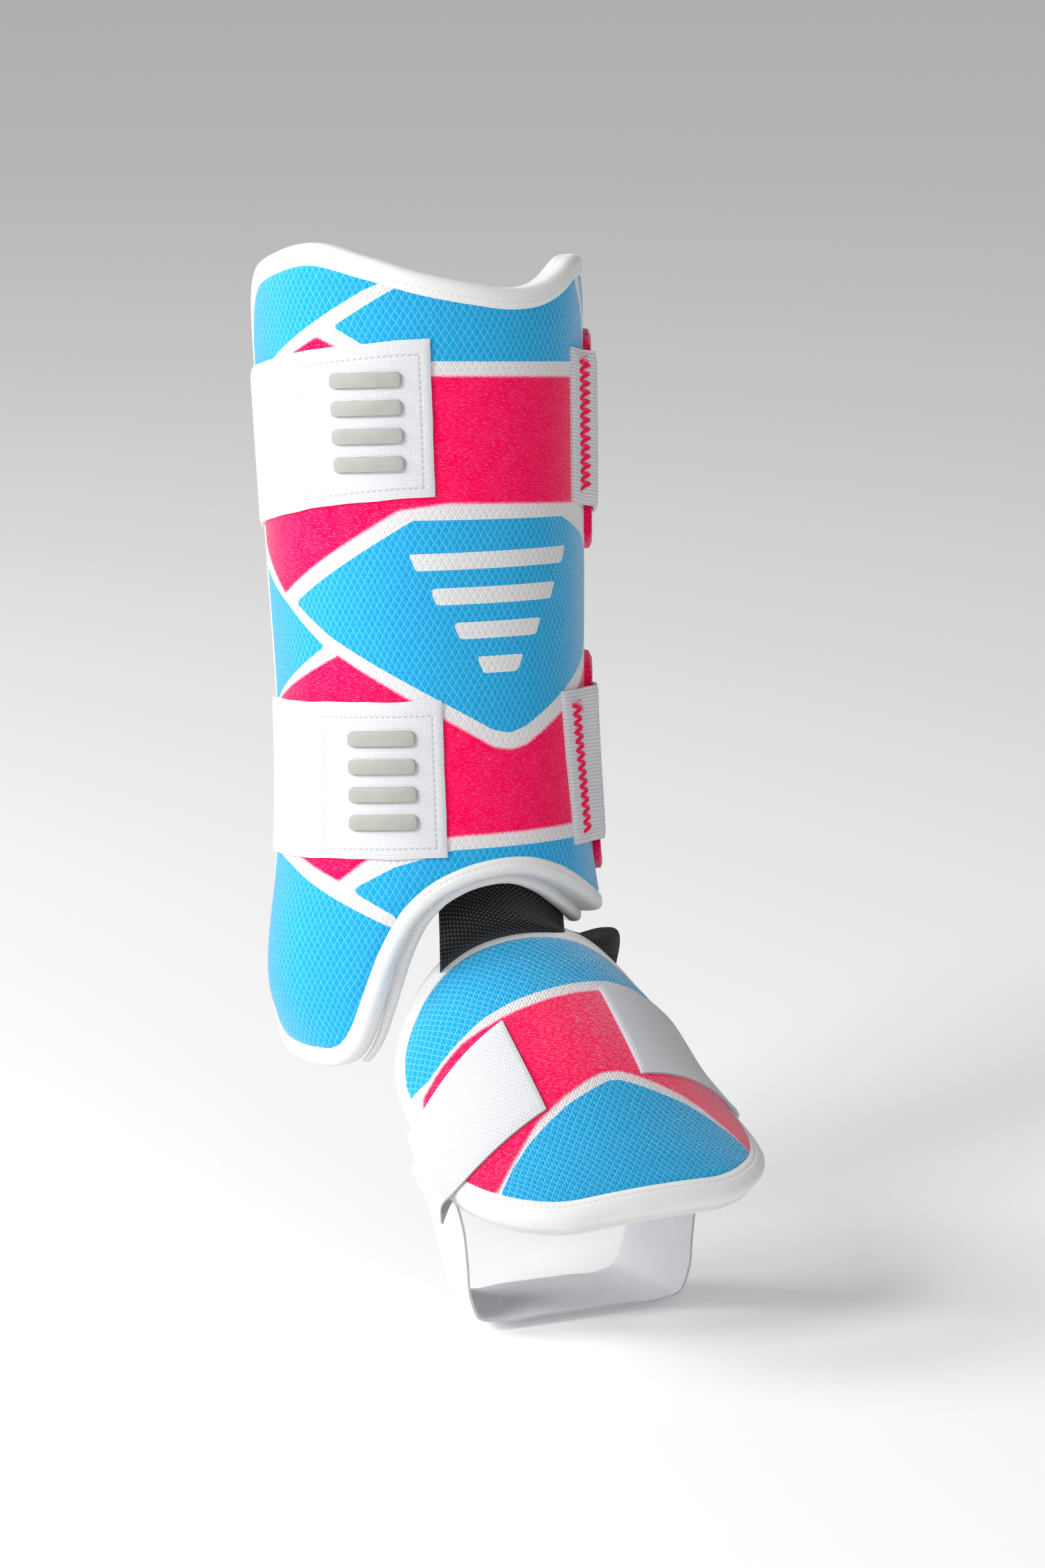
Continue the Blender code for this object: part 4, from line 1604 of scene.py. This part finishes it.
@dataclass
class InstepGuard:
    """Printed instep pad with its rolled edge, its strap and the webbing that ties it on."""

    form: FootForm
    shin: ShinGuard
    rolls: tuple = (0.0052, 0.0042)
    tape_thick: float = 0.0005
    cells: tuple = (110, 110)
    tape_cells: tuple = (200, 90)
    padding: Padding = Padding(0.0012, 0.120, 0.0014, 0.005, 0.0007, 0.018)
    strap_cells: tuple = (300, 18)
    strap_width: float = 0.038
    strap_wall: float = 0.0018
    strap_place: float = 0.56
    strap_slant: float = 0.20
    strap_curl: float = 0.10
    strap_clearance: float = 0.0030
    inner_tab_end: float = 0.0215
    outer_tab_end: float = 0.0145
    sole_half_width: float = 0.037
    sole_reach: float = 0.072
    sole_run: tuple = (
        (0.350, 1.27, 0.02), (0.270, 1.17, 0.05), (0.170, 1.10, 0.08), (0.070, 1.04, 0.10),
        (0.015, 0.95, 0.10), (0.000, 0.78, 0.08), (0.000, 0.38, 0.03),
    )
    gap: float = 0.0003
    webbing_width: float = 0.094
    webbing_turn: float = 19.0
    webbing_shift: float = 0.008
    webbing_top: float = 0.30
    webbing_exit: float = 0.0065
    webbing_lap: float = 0.018
    webbing_clearance: float = 0.0035
    webbing_bulge: float = 0.011
    webbing_wall: float = 0.0018
    webbing_cells: tuple = (64, 60)
    webbing_run: float = 0.085
    fold_start: float = 0.2
    fold_place: tuple = (0.65, 0.32)
    fold_rise: float = 0.7
    fold_drop: float = 0.25
    blue_panels: tuple = (
        ((-80, 78), (-62.5, 78), (-51, 78.5), (-38.5, 84), (-27, 88.5), (-15, 91), (-3.5, 92.5),
         (9, 94.5), (20, 96.5), (32, 97), (44, 95), (80, 88), (80, 140), (-80, 140)),
        ((-49.5, 16), (-45.5, 22), (-39, 29.5), (-31.5, 36), (-23, 41.5), (-14, 46.5), (-5, 50),
         (1.5, 52.4), (5.5, 52.4), (10.5, 50.5), (18.5, 47), (28, 43), (35, 38.5), (42, 33),
         (47, 26), (47, 19), (43, 15), (43, 0), (-50, 0)),
        ((-57, 19), (-51, 12), (-51.6, 15.5), (-57, 24)),
        ((-66, 62), (-60, 68), (-66, 74)),
    )
    pink_panels: tuple = (
        ((-55, 74), (-45.5, 79.5), (-36, 83.5), (-21.5, 86), (-7, 88), (3, 89.5), (13.5, 91),
         (24, 91.5), (34, 90), (50, 84), (62, 60), (58, 34), (50, 20), (46, 28.5), (41, 36),
         (34.5, 42.5), (28, 46.8), (19.5, 50.8), (12, 54), (6.5, 55.8), (1, 55.8), (-4.5, 54),
         (-14.5, 49.5), (-26, 43), (-37.5, 32.5), (-48, 21.5), (-55, 30), (-60, 45), (-60, 62)),
    )

    def outline(self, columns: int, rows: int) -> Outline:
        """Outline of the pad in the flat."""
        form = self.form
        return Outline((-form.half_arc, form.half_arc), form.toe_line, form.instep_line,
                       form.corner(form.toe_corner), form.corner(form.instep_corner), columns, rows)

    def on_pad(self, flat: Array, depth: Array) -> Array:
        """World points of flat points."""
        return self.form.world(self.form.points(flat[:, 0], flat[:, 1], depth))

    def panel_reach(self, panel: Panel, flat: Array) -> Array:
        """Distance inside the panels of one colour, in metres."""
        outlines = self.blue_panels if panel is Panel.BLUE else self.pink_panels
        return widest_reach(outlines, flat[:, 0] * 1000.0, flat[:, 1] * 1000.0) / 1000.0

    def build(self, knit: Material, tape: Material, elastic: Material,
              webbing: Material) -> None:
        """Build the pad, its binding, its strap and the webbing.

        Args:
            knit: Finish of the pad.
            tape: Finish of the binding.
            elastic: Finish of the strap.
            webbing: Finish of the webbing.
        """
        printed_pad("foot_pad", self.outline(*self.cells), self.rolls, self.form.wall, self.padding,
                    self.on_pad, self.panel_reach, knit)
        rolled_edge("foot_binding", self.outline(*self.tape_cells), self.rolls, self.form.wall,
                    self.tape_thick, self.on_pad, tape)
        self.build_strap(elastic)
        self.build_webbing(webbing)

    def strap_line(self, share: float, depth: float) -> Array:
        """Whole line of the strap at a share of its width, in the pad's own frame.

        Args:
            share: Share of the strap's width from its toe side.
            depth: Depth under its outer face.

        Returns:
            Points from the outer tab end, below the pad, to the inner tab end.
        """
        lift = self.gap + self.strap_wall
        form = self.form
        half = form.half_arc
        over = (share - 0.5) * self.strap_width
        hollow = np.array((0.0, -self.sole_reach, self.sole_half_width))
        sides = []
        for side, tab_end in ((1.0, self.outer_tab_end), (-1.0, self.inner_tab_end)):
            across = np.append(np.linspace(tab_end, half, 11), half + self.strap_clearance)
            under = np.append(np.full(11, -lift), form.wall / 2 - self.strap_wall)
            along = (self.strap_place - self.strap_curl * (across / half) ** 2) * form.length + over \
                + self.strap_slant * side * across
            points = list(form.points(side * across, along, under + depth))
            for height, out, twist in self.sole_run:
                wide = self.sole_half_width * (out + twist * (1.0 - 2.0 * share))
                point = np.array((side * wide, over - self.sole_reach, height * form.instep_height))
                inward = hollow - point
                inward[1] = 0.0
                points.append(point + inward / np.linalg.norm(inward) * depth)
            sides.append(points)
        outer, inner = sides
        return np.array(outer + [(inner[-1] + outer[-1]) / 2] + inner[::-1])

    def build_strap(self, elastic: Material) -> None:
        """Build the strap over the pad and below it.

        Args:
            elastic: Finish of the strap.
        """
        columns, rows = self.strap_cells
        wall = self.strap_wall

        def spread(share: float, depth: float) -> Array:
            """Even points on a smooth curve through the strap's line.

            Args:
                share: Share of the strap's width from its toe side.
                depth: Depth under the outer face.

            Returns:
                Points as rows of three numbers.
            """
            line = self.strap_line(share, depth)
            run = run_along(line)
            table = np.concatenate((run[:, None], line), axis=1)
            places = np.linspace(0.0, run[-1], columns + 1)
            return np.stack([smooth(table, axis, places) for axis in (1, 2, 3)], axis=1)

        outer, inner = [np.array([spread(share, depth) for share in np.linspace(0.0, 1.0, rows + 1)])
                        for depth in (0.0, wall)]
        length = run_along(outer[rows // 2])[-1]
        log.info("foot strap: %.0f mm long", length * 1000.0)

        def place(column: Array, row: Array, depth: Array) -> Array:
            """World points of the strap, its rims softened.

            Args:
                column: Column numbers.
                row: Row shares.
                depth: Depth under the outer face.

            Returns:
                World points as rows of three numbers.
            """
            step = np.rint(column).astype(int)
            strip = np.rint(row * rows).astype(int)
            rim = rim_distance(column, row, columns, 0.0012, self.strap_width)
            soft = 0.25 * (1.0 - ease(rim / 0.0012))
            share = (depth / wall * (1.0 - 2.0 * soft) + soft)[:, None]
            return self.form.world(outer[strip, step] * (1.0 - share) + inner[strip, step] * share)

        def flat(column: Array, row: Array) -> Array:
            """Distance from the nearer tab end and height from the middle line."""
            run = np.minimum(column, columns - column) / columns * length
            return np.stack((run, (row - 0.5) * self.strap_width), axis=1)

        mesh = slab("foot_strap_elastic", columns, rows, wall, place, flat)
        piece = finish_piece("foot_strap_elastic", mesh, elastic, ("foot_strap",))

    def build_webbing(self, webbing: Material) -> None:
        """Build the woven band between the shell and the pad, with a soft fold at its outer side.

        Args:
            webbing: Finish of the webbing.
        """
        columns, rows = self.webbing_cells
        shin, form, wall = self.shin.form, self.form, self.webbing_wall
        behind = shin.wall + shin.liner_gap + shin.liner_wall + 2 * self.gap
        under = form.wall + self.gap
        half_turn = np.degrees(self.webbing_width / shin.width)
        top = shin.level_height(self.webbing_top)

        def route(share: Array, depth: float) -> Array:
            """Knots of the band's way.

            Args:
                share: Place across the band, from -1 to 1.
                depth: Depth under its outer face.

            Returns:
                Five world points for each place, from under the pad to behind the shell.
            """
            turn = self.webbing_turn + half_turn * share
            across = share * self.webbing_width / 2 + self.webbing_shift
            high = shin.points(turn, top + 0.0 * turn, behind + depth)
            arch = shin.level_height(smooth(self.shin.lower_edge, 1, turn)) - self.webbing_exit
            leave = shin.points(turn, arch, behind + depth)
            full = form.instep_edge(across)
            enter = form.world(form.points(across, full, under + self.webbing_clearance + depth))
            low = form.world(form.points(across, full - self.webbing_lap, under + depth))
            fold = ease((share - self.fold_start) / (1.0 - self.fold_start))[:, None]
            bend = enter + (self.fold_place[0] + self.fold_place[1] * fold) * (leave - enter)
            angle = np.radians(turn)
            drop = self.fold_drop * (1.0 - fold[:, 0])
            outward = np.stack((np.sin(angle), -np.cos(angle), -drop), axis=1)
            bend += self.webbing_bulge * (1.0 + self.fold_rise * fold) * outward
            return np.stack((low, enter, bend, leave, high))

        def place(column: Array, row: Array, depth: Array) -> Array:
            """World points of the band on a smooth way through the knots.

            Args:
                column: Column numbers.
                row: Row shares.
                depth: Depth under the outer face.

            Returns:
                World points as rows of three numbers.
            """
            share = 2.0 * column / columns - 1.0
            deep = (depth / wall)[:, None]
            knots = route(share, 0.0) * (1.0 - deep) + route(share, wall) * deep
            spans = np.diff(knots, axis=0)
            sizes = np.linalg.norm(spans, axis=2)[..., None]
            slopes = np.stack((spans[0], spans[0] / sizes[0] * sizes[1], (spans[1] + spans[2]) / 2,
                               spans[3] / sizes[3] * sizes[2], spans[3]))
            reach = row * len(spans)
            leg = np.clip(reach.astype(int), 0, len(spans) - 1)
            number = np.arange(len(column))
            return hermite(knots[leg, number], knots[leg + 1, number],
                           (slopes[leg, number], slopes[leg + 1, number]), (reach - leg)[:, None])

        def flat(column: Array, row: Array) -> Array:
            """Flat points of the band."""
            return np.stack((column / columns * self.webbing_width, row * self.webbing_run), axis=1)

        mesh = slab("connector_strap_webbing", columns, rows, wall, place, flat)
        piece = finish_piece("connector_strap_webbing", mesh, webbing, ("connector_strap",))
        length = float(run_along(route(np.array([0.0]), 0.0)[:, 0])[-1])


@dataclass(frozen=True)
class Studio:
    """Pale floor, soft lights and the camera at the photo's angle."""

    camera_place: tuple = (-1.01874, -1.90694, 0.41352)
    azimuth: float = -29.0
    pitch: float = 12.5
    lens: float = 143.79
    floor_level: float = -0.2352
    floor_half: float = 14.0
    floor_shade: tuple = (0.80, 0.80, 0.80, 1.0)
    floor_glow: float = 0.16
    sky: float = 0.30
    white: tuple = (1.0, 1.0, 1.0, 1.0)
    aim: tuple = (0.0, -0.03, -0.03)
    lamps: tuple = (
        ("key", (-2.0, -0.5, 1.2), 0.9, 36.0), ("rim", (-1.7, 1.0, 0.8), 1.1, 40.0),
        ("fill", (-0.5, -2.2, 1.1), 1.4, 10.0),
    )

    def build(self) -> None:
        """Build the stage."""
        bpy.context.scene.view_settings.view_transform = "Standard"
        self.build_camera()
        self.build_floor()
        world = bpy.data.worlds.new("studio")
        world.use_nodes = True
        sky = world.node_tree.nodes["Background"]
        sky.inputs["Color"].default_value = self.white
        sky.inputs["Strength"].default_value = self.sky
        bpy.context.scene.world = world
        for lamp in self.lamps:
            self.build_lamp(*lamp)

    def build_camera(self) -> None:
        """Set the camera to the photo's angle."""
        camera = bpy.data.cameras.new("camera")
        camera.lens = self.lens
        camera.sensor_fit = "VERTICAL"
        camera.sensor_height = 36.0
        holder = bpy.data.objects.new("camera", camera)
        holder.location = self.camera_place
        holder.rotation_euler = (np.radians(90.0 - self.pitch), 0.0, np.radians(self.azimuth))
        bpy.context.scene.collection.objects.link(holder)
        bpy.context.scene.camera = holder

    def build_floor(self) -> None:
        """Build the floor that carries the guard's shadow."""
        shape = bmesh.new()
        bmesh.ops.create_grid(shape, x_segments=1, y_segments=1, size=self.floor_half)
        bmesh.ops.translate(shape, verts=shape.verts[:], vec=(0.0, 0.0, self.floor_level))
        mesh = bpy.data.meshes.new("floor")
        shape.to_mesh(mesh)
        shape.free()
        material = bpy.data.materials.new("pale_floor")
        material.use_nodes = True
        shader = material.node_tree.nodes["Principled BSDF"]
        shader.inputs["Base Color"].default_value = self.floor_shade
        shader.inputs["Roughness"].default_value = 0.9
        shader.inputs["Emission Color"].default_value = self.white
        shader.inputs["Emission Strength"].default_value = self.floor_glow
        mesh.materials.append(material)
        floor = bpy.data.objects.new("floor", mesh)
        bpy.context.scene.collection.objects.link(floor)

    def build_lamp(self, name: str, place: tuple, size: float, power: float) -> None:
        """Add one soft lamp that looks at the guard.

        Args:
            name: Its name.
            place: Where it stands.
            size: Side of its square.
            power: Watts.
        """
        lamp = bpy.data.lights.new(name, "AREA")
        lamp.size = size
        lamp.energy = power
        holder = bpy.data.objects.new(name, lamp)
        holder.location = place
        holder.rotation_euler = (Vector(self.aim) - Vector(place)).to_track_quat("-Z", "Y").to_euler()
        bpy.context.scene.collection.objects.link(holder)


def main() -> None:
    """Dress the whole guard."""
    logging.basicConfig(level=logging.INFO, format="%(message)s")
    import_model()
    effects = Effects()
    shin_form = ShinForm()
    knit_look = {"sheen": 0.9, "specular": 0.03}
    shin_knit = PrintedKnit("printed_knit_shin", bump=0.6, bump_reach=0.0005, **knit_look).make(effects)
    foot_knit = PrintedKnit("printed_knit_foot", bump=0.8, bump_reach=0.0006, net=(2.6, 3.4, 0.20, 0.9),
                            **knit_look).make(effects)
    tape = TwillTape("twill_tape", bump=0.35, bump_reach=0.0005).make(effects)
    lining = TwillTape("lining_knit", bump=0.2, sewn=False, pitch=0.9).make(effects)
    elastic = Elastic("woven_elastic", bump=0.45, backed=49.0,
                      tab_box=(3.6, 47.0, -23.7, 21.8)).make(effects)
    foot_elastic = Elastic("woven_elastic_foot", bump=0.5, backed=900.0, grid=0.8).make(effects)
    pile = LoopPile("loop_pile", bump=0.8, bump_reach=0.0008, sheen=0.9, specular=0.05).make(effects)
    yarn = LoopPile("pink_yarn", bump=0.3, fibres=0.1, light=(1.0, 0.10, 0.25, 1.0)).make(effects)
    rubber = GripRubber("grip_rubber", sheen=0.0, specular=0.45, bump=0.15,
                        bump_reach=0.0002).make(effects)
    webbing = Webbing("black_webbing", bump=1.0, bump_reach=0.0008, sheen=0.15).make(effects)

    guard = ShinGuard(shin_form)
    guard.build(shin_knit, tape, lining)
    for strap in (LegStrap(shin_form, "upper_strap", 0.753, 0.0094, sewn_end=37.5),
                  LegStrap(shin_form, "lower_strap", 0.351, 0.0, sewn_end=30.5, sewn_slant=2.2)):
        strap.build(elastic, rubber, pile, yarn)
    InstepGuard(FootForm(), guard).build(foot_knit, tape, foot_elastic, webbing)
    Studio().build()


if __name__ == "__main__":
    main()
